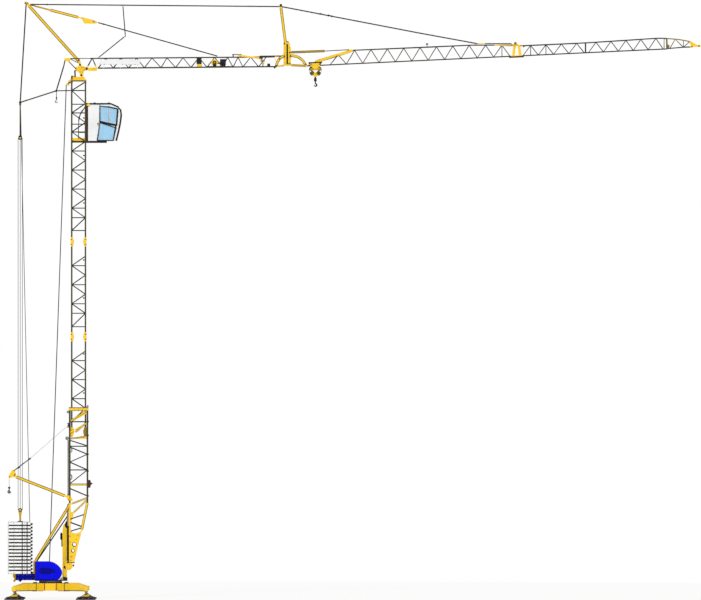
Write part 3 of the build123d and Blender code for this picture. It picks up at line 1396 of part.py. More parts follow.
BLOCK_Z = 18785
BLOCK_BOTTOM = BLOCK_Z - 125
BLOCK_SHEAVE_X = 110
FALL_RADIUS = 6


def hook_block():
    """Lower block: two sheaves side by side between cheek plates, with the swivel below."""
    x = TROLLEY_X
    cheek = [(x - 130, BLOCK_Z + 30), (x + 130, BLOCK_Z + 30), (x + 145, BLOCK_Z - 15), (x + 60, BLOCK_Z - 100),
             (x - 60, BLOCK_Z - 100), (x - 145, BLOCK_Z - 15)]
    pieces = [plate(cheek, (y - 6, y + 6)) for y in (-46, 46)]
    for dx in (-BLOCK_SHEAVE_X, BLOCK_SHEAVE_X):
        pieces.append(disc(x + dx, (-30, 30), BLOCK_Z, SHEAVE_RADIUS))
        pieces.append(disc(x + dx, (-56, 56), BLOCK_Z, 18))
    pieces.append(box((x - 55, x + 55), (-52, 52), (BLOCK_BOTTOM, BLOCK_Z - 85)))
    return fused(pieces)


def hook():
    """Swivelling hook with its collar."""
    x, top = TROLLEY_X, BLOCK_BOTTOM - ROPE_GAP
    neck = rod((x, 0, top - 50), (x, 0, top), 30)
    swivel = rod((x, 0, top - 165), (x, 0, top - 50), 50)
    shank = rod((x, 0, top - 235), (x, 0, top - 165), 20)
    curve = plate(hook_outline(x, top - 340, 150), (-20, 20))
    return fused([neck, swivel, shank, curve])


def hook_falls():
    """Rope falls between the trolley's sheaves and the hook block."""
    lean = math.atan2(TROLLEY_SHEAVE_X - BLOCK_SHEAVE_X, TROLLEY_SHEAVE_Z - BLOCK_Z)
    reach = SHEAVE_RADIUS + FALL_RADIUS
    out, down = reach * math.cos(lean), reach * math.sin(lean)
    return [rod((TROLLEY_X + side * (TROLLEY_SHEAVE_X + out), y, TROLLEY_SHEAVE_Z - down),
                (TROLLEY_X + side * (BLOCK_SHEAVE_X + out), y, BLOCK_Z - down), FALL_RADIUS)
            for side in (-1, 1) for y in (-15, 15)]


CHIP_VOLUME = 4000


def boxes_meet(a, b):
    """Do the two solids' bounding boxes overlap?"""
    first, second = a.bounding_box(), b.bounding_box()
    return all(getattr(first.min, axis) < getattr(second.max, axis)
               and getattr(second.min, axis) < getattr(first.max, axis) for axis in "XYZ")


def seated(pieces):
    """Cut each piece by those before it, so that neighbours in a body meet face to face."""
    placed = []
    fitted = {}
    for name, solids in pieces.items():
        kept = []
        for solid in solids:
            seats = [other for other in placed if boxes_meet(solid, other)]
            cut = solid.cut(*seats).solids() if seats else [solid]
            kept += [part for part in cut if part.volume > CHIP_VOLUME]
        placed += kept
        fitted[name] = kept
    return fitted


def undercarriage():
    corners = [(sx, sy) for sx in (1, -1) for sy in (-1, 1)]
    return {
        "chassis_hub": chassis_hub(),
        "outrigger_legs": [solid for sx, sy in corners for solid in leg(sx, sy)],
        "jack_screws": jack_screws(),
        "foot_pads": foot_pads(),
        "leg_pins": leg_pins(),
        "slew_ring_lower": slew_ring_lower(),
    }


def platform():
    return {
        "slew_ring_upper": slew_ring_upper(),
        "platform_deck": platform_deck(),
        "rear_beam": rear_beam(),
        "machinery_cover": machinery_cover(),
        "rear_frame": rear_frame() + rear_bracket(),
        "ballast_slabs_odd": ballast_slabs(0),
        "ballast_slabs_even": ballast_slabs(1),
        "ballast_fittings": ballast_lugs() + ballast_ties(),
        "stay_block": stay_anchor() + stay_sheaves(),
        "front_post": post(),
        "outer_mast": outer_mast(),
        "outer_collar": outer_collar() + collar_shoes(),
        "mast_foot": mast_foot() + foot_shoes() + foot_shafts(),
        "erecting_gear": cylinder_shaft() + erecting_cylinders() + post_motor(),
        "back_braces": back_braces(),
        "rear_guides": rear_rail() + guide_pulleys(),
        "mast_brackets": front_bracket() + davit_brackets(),
        "mast_ropes": rear_ropes() + hoist_rope() + control_line(),
    }


def upper_works():
    return {
        "inner_mast_top": inner_section(0),
        "inner_mast_middle": inner_section(1),
        "inner_mast_lower": inner_section(2),
        "mast_joints": mast_joints() + lower_shoes(),
        "cab_shell": cab_shell(),
        "cab_door": cab_door(),
        "cab_glass": cab_glass(),
        "cab_roof": cab_roof(),
        "cab_frame": cab_beams() + cab_rail(),
        "cab_platform": cab_platform() + cab_guard(),
        "mast_head": mast_head() + rope_pulley(),
        "head_pivot": head_pivot(),
        "strut": strut(),
        "rear_arm": rear_arm(),
        "rear_link": rear_link() + upper_block(),
        "jib_inner": jib_inner() + jib_foot(),
        "strut_ties": top_tie() + lower_tie(),
        "sign_board": sign_board(),
        "jib_machinery": trolley_winch() + jib_cabinet() + fold_gear() + warning_light(),
        "king_post": king_post(),
        "elbow": elbow(),
        "jib_outer": jib_outer(),
        "fold_joint": fold_joint(),
        "jib_third": jib_third(),
        "jib_fourth": bolted_joint() + jib_fourth() + jib_end(),
        "jib_tip": jib_tip() + tip_block(),
        "jib_rods": elbow_rods() + inner_rods() + foot_rods(),
        "outer_tie": outer_tie(),
    }


def trolley():
    return {
        "trolley_frame": trolley_frame(),
        "trolley_wheels": trolley_wheels() + trolley_sheaves(),
        "hook_falls": hook_falls(),
    }


def davit():
    return {
        "davit_boom": davit_boom(),
        "davit_rigging": davit_line() + davit_hook(),
    }


def main():
    os.makedirs("parts", exist_ok=True)
    bodies = [undercarriage(), platform(), upper_works(), trolley(), {"hook_block": hook_block()},
              {"hook": hook()}, davit()]
    for body in bodies:
        for name, solids in seated(body).items():
            export_step(Compound(solids), f"parts/{name}.step")


main()
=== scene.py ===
import json
import math

import bmesh
import bpy
from mathutils import Matrix, Vector


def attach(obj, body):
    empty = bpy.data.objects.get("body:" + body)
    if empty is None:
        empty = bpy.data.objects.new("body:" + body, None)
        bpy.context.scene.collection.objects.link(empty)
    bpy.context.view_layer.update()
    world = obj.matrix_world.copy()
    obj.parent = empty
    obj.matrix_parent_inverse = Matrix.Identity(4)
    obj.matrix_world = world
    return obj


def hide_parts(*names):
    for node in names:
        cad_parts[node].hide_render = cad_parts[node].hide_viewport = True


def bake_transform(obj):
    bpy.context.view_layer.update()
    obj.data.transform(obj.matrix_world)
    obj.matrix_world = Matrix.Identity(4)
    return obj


bl_info = {
    "name": "Tower crane dressing",
    "version": (1, 0, 0),
    "blender": (4, 5, 0),
    "location": "View3D > Sidebar > Crane",
    "description": "Builds the skin, ropes, fittings and finishes of the tower crane around its frame",
    "category": "Object",
}

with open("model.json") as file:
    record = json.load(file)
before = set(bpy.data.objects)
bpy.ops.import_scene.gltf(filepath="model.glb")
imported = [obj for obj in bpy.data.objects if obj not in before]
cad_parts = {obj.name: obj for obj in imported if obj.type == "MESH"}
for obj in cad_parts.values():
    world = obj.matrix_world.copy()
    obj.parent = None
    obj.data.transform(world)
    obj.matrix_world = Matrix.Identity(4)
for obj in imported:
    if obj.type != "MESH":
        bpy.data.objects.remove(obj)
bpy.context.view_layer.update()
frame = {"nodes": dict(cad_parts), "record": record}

# Which CAD body each dressed node rides on.
BODY_OF = {node: body for body, nodes in frame["record"]["behaviour"]["bodies"].items() for node in nodes}

# Places on the crane, in metres. The slewing axis stands at X 0 and Y 0, and the ground lies at Z 0.
MAST_X = 1.0
MAST_HALF = 0.245
MAST_CHORD = 0.048
OUTER_HALF = 0.316
OUTER_CHORD = 0.052
JIB_HALF = 0.225
JIB_CHORD = 0.036
JIB_SLOPE = 0.0473
SOLE_REACH = 1.275
BOTH = (-1, 1)
CORNERS = [(sx, sy) for sx in BOTH for sy in BOTH]
STAY_X = -1.085
JACKS = [(sx * SOLE_REACH, sy * SOLE_REACH) for sx, sy in CORNERS]
DECK_TOP = 0.685
ACROSS = (0, 1, 0)
ALONG = (1, 0, 0)
UP = (0, 0, 1)


# Finishes


class Finish:
    """A node material under construction, with short ways to add and join its nodes."""

    def __init__(self, name):
        self.material = bpy.data.materials.new(name)
        self.material.use_nodes = True
        self.tree = self.material.node_tree
        self.shader = next(n for n in self.tree.nodes if n.type == "BSDF_PRINCIPLED")
        self.place = self.add("ShaderNodeTexCoord").outputs["Object"]

    def add(self, kind, **settings):
        node = self.tree.nodes.new(kind)
        for key, value in settings.items():
            setattr(node, key, value)
        return node

    def join(self, source, target):
        self.tree.links.new(source, target)

    def fixed(self, **values):
        """Sockets of the shader that are the same all over the surface."""
        for key, value in values.items():
            self.shader.inputs[key.replace("_", " ")].default_value = value

    def noise(self, scale, detail=4.0, roughness=0.55, stretch=(1, 1, 1)):
        """Noise in the object's own space, drawn out along an axis by stretch."""
        mapping = self.add("ShaderNodeMapping")
        mapping.inputs["Scale"].default_value = stretch
        self.join(self.place, mapping.inputs["Vector"])
        node = self.add("ShaderNodeTexNoise")
        node.inputs["Scale"].default_value = scale
        node.inputs["Detail"].default_value = detail
        node.inputs["Roughness"].default_value = roughness
        self.join(mapping.outputs["Vector"], node.inputs["Vector"])
        return node.outputs["Fac"]

    def ramp(self, source, low, high, start=0.0, end=1.0):
        """Straight change from start to end while source goes from low to high."""
        node = self.add("ShaderNodeMapRange")
        node.inputs["From Min"].default_value = low
        node.inputs["From Max"].default_value = high
        node.inputs["To Min"].default_value = start
        node.inputs["To Max"].default_value = end
        self.join(source, node.inputs["Value"])
        return node.outputs["Result"]

    def math(self, operation, first, second=None):
        node = self.add("ShaderNodeMath", operation=operation)
        for socket, value in zip(node.inputs, (first, second)):
            if value is None:
                continue
            if isinstance(value, (int, float)):
                socket.default_value = value
            else:
                self.join(value, socket)
        return node.outputs["Value"]

    def mix(self, factor, first, second):
        """Blend of two colours, each a tuple or a socket."""
        node = self.add("ShaderNodeMix", data_type="RGBA")
        for socket, value in ((node.inputs[0], factor), (node.inputs[6], first), (node.inputs[7], second)):
            if isinstance(value, (int, float)):
                socket.default_value = value
            elif isinstance(value, tuple):
                socket.default_value = (*value, 1.0)
            else:
                self.join(value, socket)
        return node.outputs[2]

    def colour(self, source):
        self.join(source, self.shader.inputs["Base Color"])

    def rough(self, source, low, high):
        self.join(self.ramp(source, 0.3, 0.7, low, high), self.shader.inputs["Roughness"])

    def bump(self, height, distance, strength=0.5):
        node = self.add("ShaderNodeBump")
        node.inputs["Strength"].default_value = strength
        node.inputs["Distance"].default_value = distance
        self.join(height, node.inputs["Height"])
        self.join(node.outputs["Normal"], self.shader.inputs["Normal"])

    def axes(self):
        """The three coordinates of the place, as sockets."""
        node = self.add("ShaderNodeSeparateXYZ")
        self.join(self.place, node.inputs["Vector"])
        return node.outputs["X"], node.outputs["Y"], node.outputs["Z"]

    def near(self, coordinate, centre, half_width):
        """1 where a coordinate lies within half_width of the centre, else 0."""
        offset = self.math("ABSOLUTE", self.math("SUBTRACT", coordinate, centre))
        return self.math("LESS_THAN", offset, half_width)

    def within(self, coordinate, low, high):
        """1 where a coordinate lies between low and high, else 0."""
        return self.near(coordinate, (low + high) / 2, (high - low) / 2)


def shade(colour, factor):
    """The colour made lighter or darker."""
    return tuple(min(1.0, channel * factor) for channel in colour)


def weathered(finish, colour, dirt=0.35, grain=60.0):
    """Colour socket with soft patches, grime that runs down, and fine speckle."""
    patches = finish.ramp(finish.noise(1.7, 5.0), 0.35, 0.7)
    base = finish.mix(patches, colour, shade(colour, 0.88)) if isinstance(colour, tuple) else colour
    runs = finish.ramp(finish.noise(9.0, 6.0, 0.65, (1, 1, 0.12)), 0.58, 0.8, 0.0, dirt)
    grimy = finish.mix(runs, base, (0.16, 0.12, 0.07))
    speckle = finish.ramp(finish.noise(grain, 3.0), 0.66, 0.72, 0.0, dirt * 0.6)
    return finish.mix(speckle, grimy, (0.08, 0.06, 0.05))


def sprayed(finish, coat):
    """Orange peel and gloss of sprayed machine paint."""
    finish.rough(finish.noise(7.0, 5.0), 0.38, 0.62)
    finish.bump(finish.noise(240.0, 2.0), 0.0006, 0.35)
    finish.fixed(Coat_Weight=coat, Coat_Roughness=0.3, Specular_IOR_Level=0.22)
    return finish.material


def paint(name, colour, dirt=0.35, coat=0.05):
    """Sprayed machine paint with grime and chips."""
    finish = Finish(name)
    finish.colour(weathered(finish, colour, dirt))
    return sprayed(finish, coat)


def zoned_paint(name, colour, zones, dirt=0.3):
    """Paint with boxes of other colours: each zone is a colour, an X range, a Z range and a reach in Y."""
    finish = Finish(name)
    x, y, z = finish.axes()
    side = finish.math("ABSOLUTE", y)
    mixed = colour
    for other, across, up, reach in zones:
        inside = finish.math("MULTIPLY", finish.within(x, *across), finish.within(z, *up))
        inside = finish.math("MULTIPLY", inside, finish.math("LESS_THAN", side, reach))
        mixed = finish.mix(inside, mixed, other)
    finish.colour(weathered(finish, mixed, dirt))
    return sprayed(finish, 0.05)


def bare_metal(name, colour, low=0.25, high=0.55):
    """Machined or rolled steel with drawn streaks."""
    finish = Finish(name)
    finish.colour(weathered(finish, colour, 0.4, 90.0))
    finish.rough(finish.noise(30.0, 4.0, 0.6, (1, 1, 8)), low, high)
    finish.bump(finish.noise(300.0, 2.0), 0.0004, 0.3)
    finish.fixed(Metallic=0.85)
    return finish.material


def mast_paint(name, chord, brace, rear_chord, half, chord_width, bright=None, levels=()):
    """Lattice paint: chords in one colour, rear ones darker, braces in another and bright in some levels."""
    finish = Finish(name)
    x, y, z = finish.axes()
    from_axis = finish.math("SUBTRACT", x, MAST_X)
    reach = chord_width / 2 + 0.001
    on_x = finish.near(finish.math("ABSOLUTE", from_axis), half, reach)
    on_y = finish.near(finish.math("ABSOLUTE", y), half, reach)
    on_chord = finish.math("MULTIPLY", on_x, on_y)
    front = finish.math("GREATER_THAN", from_axis, 0.0)
    chords = finish.mix(front, rear_chord, chord)
    braces = brace
    for low, high in levels:
        braces = finish.mix(finish.within(z, low, high), braces, bright)
    finish.colour(weathered(finish, finish.mix(on_chord, braces, chords), 0.3))
    return sprayed(finish, 0.05)


HEAVY_BAR = (9.47, 10.79)
BRIGHT_LEVELS = ((5.725, 5.785), (5.940, 6.315), (6.365, 6.680), (4.070, 4.130))


def jib_paint(name, chord, brace, bright):
    """Lattice paint of the jib: chords in one colour, braces dark, the heavy bar over the trolley bright."""
    finish = Finish(name)
    x, y, z = finish.axes()
    side = finish.near(finish.math("ABSOLUTE", y), JIB_HALF + 0.012, JIB_CHORD / 2 + 0.018)
    top = finish.math("LESS_THAN", finish.math("ABSOLUTE", y), JIB_CHORD / 2 + 0.006)
    both = finish.mix(finish.math("MAXIMUM", side, top), brace, chord)
    middle = finish.math("LESS_THAN", finish.math("ABSOLUTE", y), 0.036)
    both = finish.mix(finish.math("MULTIPLY", middle, finish.within(x, *HEAVY_BAR)), both, bright)
    foot = finish.math("MULTIPLY", finish.within(x, 1.30, 1.70), finish.within(z, 18.80, 19.06))
    both = finish.mix(foot, both, bright)
    finish.colour(weathered(finish, both, 0.3))
    return sprayed(finish, 0.05)


def concrete(name, colour):
    """Cast concrete with air holes, damp runs and pale bloom."""
    finish = Finish(name)
    bloom = finish.ramp(finish.noise(3.0, 8.0, 0.6), 0.4, 0.62)
    body = finish.mix(bloom, colour, shade(colour, 0.94))
    runs = finish.ramp(finish.noise(6.0, 5.0, 0.6, (1, 1, 0.15)), 0.56, 0.78, 0.0, 0.25)
    stained = finish.mix(runs, body, shade(colour, 0.6))
    holes = finish.add("ShaderNodeTexVoronoi")
    holes.inputs["Scale"].default_value = 38.0
    finish.join(finish.place, holes.inputs["Vector"])
    pits = finish.ramp(holes.outputs["Distance"], 0.10, 0.16, 1.0, 0.0)
    finish.colour(finish.mix(finish.math("MULTIPLY", pits, 0.3), stained, shade(colour, 0.4)))
    grain = finish.noise(120.0, 6.0, 0.7)
    finish.bump(finish.math("SUBTRACT", grain, pits), 0.002, 0.45)
    finish.rough(grain, 0.78, 0.95)
    return finish.material


def gel_coat(name, colour):
    """Glossy moulded shell with polishing haze and a little grime."""
    finish = Finish(name)
    finish.colour(weathered(finish, colour, 0.06, 70.0))
    finish.rough(finish.noise(5.0, 6.0), 0.35, 0.55)
    finish.bump(finish.noise(14.0, 2.0), 0.0015, 0.12)
    finish.fixed(Coat_Weight=0.02, Coat_Roughness=0.2, Specular_IOR_Level=0.07)
    return finish.material


def cab_pane(name, colour):
    """Pale tinted glazing that shows light blue, with faint streaks."""
    finish = Finish(name)
    streaks = finish.ramp(finish.noise(5.0, 4.0, 0.5, (1, 1, 0.3)), 0.35, 0.7)
    finish.colour(finish.mix(streaks, colour, shade(colour, 0.9)))
    finish.rough(finish.noise(12.0, 4.0), 0.02, 0.08)
    finish.fixed(Transmission_Weight=0.2, IOR=1.45, Specular_IOR_Level=0.3)
    return finish.material


def rope_steel(name, colour):
    """Laid wire rope: dark grooves wind round the strands."""
    finish = Finish(name)
    x, y, z = finish.axes()
    lay = finish.math("SINE", finish.math("MULTIPLY", finish.math("ADD", finish.math("ADD", x, y), z), 240.0))
    groove = finish.ramp(lay, -0.4, 0.5)
    finish.colour(finish.mix(groove, shade(colour, 0.4), colour))
    finish.rough(finish.noise(60.0, 3.0), 0.35, 0.6)
    finish.bump(lay, 0.002, 0.5)
    finish.fixed(Specular_IOR_Level=0.3)
    return finish.material


# Settings


class CraneColours(bpy.types.PropertyGroup):
    yellow: bpy.props.FloatVectorProperty(
        name="Yellow", description="Base, struts, joints and trolley", subtype="COLOR", size=3,
        min=0, max=1, default=(0.95, 0.60, 0.015))
    chord: bpy.props.FloatVectorProperty(
        name="Chord", description="Front chords of the mast and chords of the jib", subtype="COLOR", size=3,
        min=0, max=1, default=(0.055, 0.045, 0.008))
    rear_chord: bpy.props.FloatVectorProperty(
        name="Rear chord", description="Rear chords of the mast", subtype="COLOR", size=3,
        min=0, max=1, default=(0.038, 0.036, 0.010))
    brace: bpy.props.FloatVectorProperty(
        name="Brace", description="Diagonals and cross bars of the lattice", subtype="COLOR", size=3,
        min=0, max=1, default=(0.010, 0.009, 0.006))
    blue: bpy.props.FloatVectorProperty(
        name="Blue", description="Machinery housing and rear beam", subtype="COLOR", size=3,
        min=0, max=1, default=(0.0006, 0.002, 0.74))
    black: bpy.props.FloatVectorProperty(
        name="Black", description="Rings, rails, pulleys and guards", subtype="COLOR", size=3,
        min=0, max=1, default=(0.007, 0.007, 0.008))
    brown: bpy.props.FloatVectorProperty(
        name="Brown", description="Cab rails and primed brackets", subtype="COLOR", size=3,
        min=0, max=1, default=(0.045, 0.016, 0.010))
    white: bpy.props.FloatVectorProperty(
        name="White", description="Cab walls and sign board", subtype="COLOR", size=3,
        min=0, max=1, default=(0.86, 0.87, 0.87))
    glass: bpy.props.FloatVectorProperty(
        name="Glass", description="Cab panes", subtype="COLOR", size=3,
        min=0, max=1, default=(0.42, 0.74, 1.0))
    concrete: bpy.props.FloatVectorProperty(
        name="Concrete", description="Ballast slabs", subtype="COLOR", size=3,
        min=0, max=1, default=(0.90, 0.90, 0.89))
    rope: bpy.props.FloatVectorProperty(
        name="Rope", description="Wire ropes", subtype="COLOR", size=3,
        min=0, max=1, default=(0.055, 0.058, 0.062))
    steel: bpy.props.FloatVectorProperty(
        name="Steel", description="Bare screws, pins and tie bars", subtype="COLOR", size=3,
        min=0, max=1, default=(0.30, 0.30, 0.31))


class CraneSizes(bpy.types.PropertyGroup):
    edge: bpy.props.FloatProperty(
        name="Plate edge", description="Rounding of cut plate and box edges", unit="LENGTH",
        min=0, default=0.004)
    cast_edge: bpy.props.FloatProperty(
        name="Cast edge", description="Rounding of heavy welded and cast pieces", unit="LENGTH",
        min=0, default=0.009)
    bolt: bpy.props.FloatProperty(
        name="Bolt", description="Width across the corners of a common bolt head", unit="LENGTH",
        min=0, default=0.030)
    view_lens: bpy.props.FloatProperty(
        name="Lens", description="Focal length of the side view, long enough to look flat",
        subtype="DISTANCE_CAMERA", min=50, default=900.0)


FINISH = {}


def plain_finishes(colours):
    """Finishes in one colour each."""
    black, yellow, blue = tuple(colours.black), tuple(colours.yellow), tuple(colours.blue)
    FINISH.update(
        yellow=paint("yellow_paint", yellow),
        olive=paint("olive_paint", shade(yellow, 0.55)),
        # Yellow darkened nearly to black: painted shade for strips along the upper and lower sides of bars.
        edge=paint("painted_edge_shade", shade(yellow, 0.10)),
        orange=paint("orange_paint", (0.80, 0.28, 0.02)),
        black=paint("black_paint", black, 0.12, 0.0),
        rubber=paint("rubber_seal", shade(black, 1.2), 0.1, 0.0),
        roof=paint("roof_shell", shade(black, 1.3), 0.1, 0.0),
        brown=paint("brown_primer", tuple(colours.brown), 0.25, 0.0),
        chord=paint("chord_paint", tuple(colours.chord)),
        white=paint("white_panel", tuple(colours.white), 0.08, 0.2),
        blue=gel_coat("blue_paint", shade(blue, 0.66)),
        housing=gel_coat("blue_gel_coat", blue),
        # Blues darkened as painted shade: on the sunk side panels and the skirt, and nearly to black on the
        # rims round the panels.
        recess=gel_coat("recess_gel_coat", shade(blue, 0.30)),
        deep=gel_coat("painted_rim_shade", shade(blue, 0.10)),
        glass=cab_pane("cab_glass", tuple(colours.glass)),
        concrete=concrete("cast_concrete", tuple(colours.concrete)),
        rope=rope_steel("wire_rope", tuple(colours.rope)),
        steel=bare_metal("bare_steel", tuple(colours.steel)),
    )


def lattice_finishes(colours):
    """Finishes of the lattices of both masts and the jib."""
    yellow, chord = tuple(colours.yellow), tuple(colours.chord)
    rear, brace = tuple(colours.rear_chord), tuple(colours.brace)
    FINISH.update(
        inner_mast=mast_paint("inner_mast_paint", chord, brace, rear, MAST_HALF, MAST_CHORD),
        outer_mast=mast_paint("outer_mast_paint", rear, brace, rear, OUTER_HALF, OUTER_CHORD, yellow,
                              BRIGHT_LEVELS),
        jib=jib_paint("jib_lattice_paint", shade(chord, 0.5), brace, yellow),
    )


# Finishes in several colours: the paint's name, its own colour, and boxes in other colours. A box has an X
# range, a Z range and a reach in Y.
ZONED = {
    "shoes": ("shoe_paint", "yellow", [("tan", (1.15, 1.32), (5.6, 6.25), 1.0)]),
    "outer_ties": ("outer_tie_paint", "black", [
        ("yellow", (15.20, 15.52), (19.7, 19.95), 1.0), ("tan", (13.04, 13.17), (20.1, 20.4), 1.0)]),
    "machinery": ("machinery_paint", "black", [("yellow", (5.22, 5.39), (18.95, 19.112), 1.0)]),
    "rigging": ("rigging_paint", "rope", [("black", (-1.6, -1.3), (3.7, 3.96), 1.0)]),
    "floor_bar": ("cab_rail_paint", "brown", [("black", (1.20, 2.20), (16.25, 16.372), 1.0)]),
    "deck": ("deck_paint", "black", [("cream", (0.28, 0.45), (0.69, 0.84), 1.0)]),
    "arm": ("arm_paint", "chord", [("yellow", (0.50, 0.71), (19.2, 19.33), 1.0)]),
    "tip": ("tip_paint", "yellow", [
        ("ochre", (21.9, 22.82), (19.925, 20.1), 1.0), ("dark_chord", (21.9, 22.82), (19.6, 19.925), 1.0)]),
    "treads": ("tread_paint", "black", [("yellow", (0.7, 1.3), (16.37, 16.48), 1.0)]),
    "ties": ("tie_paint", "black", [("yellow", (-0.02, 1.72), (20.5, 21.1), 0.2)]),
    "rods": ("rod_paint", "black", [
        ("yellow", (8.5, 9.8), (19.4, 19.7), 0.2), ("yellow", (6.64, 7.46), (19.2, 19.445), 0.1)]),
    "brackets": ("bracket_paint", "brown", [("yellow", (0.58, 0.80), (3.50, 3.72), 1.0)]),
    "stay": ("stay_paint", "black", [
        ("olive", (-1.15, -1.02), (2.83, 3.13), 0.1), ("yellow", (-1.11, -1.06), (3.16, 3.22), 0.1)]),
    "link": ("link_paint", "chord", [
        ("black", (-1.2, 0.74), (18.13, 18.22), 0.4), ("black", (-1.1, -0.85), (17.8, 21.4), 0.03),
        ("black", (0.21, 0.485), (18.2, 19.07), 0.03), ("black", (-1.2, -0.95), (16.3, 17.0), 0.2)]),
}


def zoned_finishes(colours):
    """Finishes of nodes that hold pieces in several colours."""
    known = {name: tuple(getattr(colours, name)) for name in ("yellow", "black", "brown", "chord", "rope")}
    tan = shade(known["yellow"], 0.35)
    known.update(tan=tan, ochre=shade(tan, 0.8), olive=shade(known["yellow"], 0.55),
                 dark_chord=shade(known["chord"], 0.4), cream=(0.95, 0.80, 0.30))
    for finish, (name, own, zones) in ZONED.items():
        FINISH[finish] = zoned_paint(name, known[own], [(known[other], *box) for other, *box in zones])


# The finish of each CAD node that stays in view or is copied with rounded edges.
NODES_BY_FINISH = {
    "yellow": ("chassis_hub", "outrigger_legs", "rear_frame", "front_post", "outer_collar", "mast_foot",
        "back_braces", "mast_head", "head_pivot", "strut", "king_post", "elbow", "fold_joint",
        "trolley_frame", "hook_block", "davit_boom"),
    "steel": ("jack_screws", "rear_guides"),
    "black": ("foot_pads", "leg_pins", "slew_ring_lower", "slew_ring_upper", "ballast_fittings",
        "erecting_gear", "trolley_wheels", "hook"),
    "concrete": ("ballast_slabs_odd", "ballast_slabs_even"),
    "rope": ("mast_ropes", "hook_falls"),
    "inner_mast": ("inner_mast_top", "inner_mast_middle", "inner_mast_lower"),
    "white": ("cab_shell", "cab_door", "sign_board"),
    "jib": ("jib_inner", "jib_outer", "jib_third", "jib_fourth"),
    "deck": ("platform_deck",), "blue": ("rear_beam",), "housing": ("machinery_cover",),
    "stay": ("stay_block",), "outer_mast": ("outer_mast",), "brackets": ("mast_brackets",),
    "shoes": ("mast_joints",), "glass": ("cab_glass",), "roof": ("cab_roof",),
    "floor_bar": ("cab_frame",), "treads": ("cab_platform",), "arm": ("rear_arm",),
    "link": ("rear_link",), "ties": ("strut_ties",), "machinery": ("jib_machinery",), "tip": ("jib_tip",),
    "rods": ("jib_rods",), "outer_ties": ("outer_tie",), "rigging": ("davit_rigging",),
}
NODE_FINISH = {node: finish for finish, nodes in NODES_BY_FINISH.items() for node in nodes}

# Nodes whose edges are rounded: heavy welded or cast ones, and plates and boxes.
HEAVY = ("chassis_hub", "outrigger_legs", "rear_beam", "front_post", "cab_roof")
PLATES = (
    "slew_ring_lower", "slew_ring_upper", "platform_deck", "rear_frame", "ballast_fittings", "stay_block",
    "mast_foot", "outer_collar", "erecting_gear", "back_braces", "rear_guides", "mast_brackets",
    "mast_joints", "cab_shell", "cab_door", "cab_frame", "cab_platform", "mast_head", "head_pivot",
    "strut", "rear_arm", "rear_link", "strut_ties", "sign_board", "jib_machinery", "king_post", "elbow",
    "fold_joint", "jib_tip", "jib_rods", "outer_tie", "trolley_frame", "hook_block", "davit_boom",
    "davit_rigging",
)


# Mesh tools


def meshes(count):
    """That many empty meshes."""
    return [bmesh.new() for _ in range(count)]


def finished(name, bm, finish, sharp=32):
    """The bmesh made into an object in its finish, smooth but for edges sharper than an angle in degrees."""
    bm.normal_update()
    for face in bm.faces:
        face.smooth = True
    for edge in bm.edges:
        edge.smooth = edge.is_manifold and edge.calc_face_angle(0.0) < math.radians(sharp)
    mesh = bpy.data.meshes.new(name)
    bm.to_mesh(mesh)
    bm.free()
    mesh.materials.append(FINISH[finish])
    made = bpy.data.objects.new(name, mesh)
    bpy.context.scene.collection.objects.link(made)
    return made


def round_edges(made, width):
    """Rounds an object's sharp edges."""
    edges = made.modifiers.new("rounded_edges", "BEVEL")
    edges.width = width
    edges.segments = 2
    edges.limit_method = "ANGLE"
    edges.angle_limit = math.radians(35)
    edges.use_clamp_overlap = True
    edges.harden_normals = True


def piece(name, bm, body, finish, replaces=(), bevel=0.0, sharp=32):
    """A piece of the dressing that rides on a body, and stands in for CAD nodes when it replaces any."""
    made = finished(name, bm, finish, sharp)
    if bevel:
        round_edges(made, bevel)
    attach(made, body)
    if replaces:
        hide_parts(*replaces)


def skin(node, bm, bevel=0.0):
    """A reworked copy of a CAD node, in the node's own place and finish."""
    made = finished("skin_" + node, bm, NODE_FINISH[node])
    if bevel:
        round_edges(made, bevel)
    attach(made, BODY_OF[node])
    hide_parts(node)


def layer(side, inner, outer):
    """Limits in Y, lower first, of a layer on one side that lies between two distances from the middle."""
    return sorted((side * inner, side * outer))


def at_side(y, *spots):
    """Spots in X and Z, taken to one Y."""
    return [(x, y, z) for x, z in spots]


def round_spots(radius, count, start=0.0):
    """Offsets of evenly spaced spots on a circle, the first one turned by start steps."""
    turns = [math.tau * (i + start) / count for i in range(count)]
    return [(radius * math.cos(turn), radius * math.sin(turn)) for turn in turns]


def cad_copy(node):
    """A merged bmesh copy of a CAD node, with its flat faces joined."""
    bm = bmesh.new()
    bm.from_mesh(frame["nodes"][node].data)
    bmesh.ops.remove_doubles(bm, verts=bm.verts, dist=1e-5)
    bmesh.ops.dissolve_limit(bm, angle_limit=math.radians(1), verts=bm.verts, edges=bm.edges)
    return bm


def add_prism(bm, outline, near, far, to_place=Matrix()):
    """Adds a plate cut to an outline in X and Z, from Y near to Y far."""
    corners = [bm.verts.new((x, near, z)) for x, z in outline]
    grown = bmesh.ops.extrude_face_region(bm, geom=[bm.faces.new(corners)])
    new = [g for g in grown["geom"] if isinstance(g, bmesh.types.BMVert)]
    bmesh.ops.translate(bm, vec=(0, far - near, 0), verts=new)
    bmesh.ops.transform(bm, matrix=to_place, verts=corners + new)


def add_box(bm, low, high):
    """Adds a box between two corners."""
    size = [b - a for a, b in zip(low, high)]
    centre = [(a + b) / 2 for a, b in zip(low, high)]
    matrix = Matrix.Translation(centre) @ Matrix.Diagonal((*size, 1))
    return bmesh.ops.create_cube(bm, size=1, matrix=matrix)["verts"]


def facing(direction):
    """Turns +Z to the direction."""
    return Vector(direction).to_track_quat("Z", "Y").to_matrix().to_4x4()


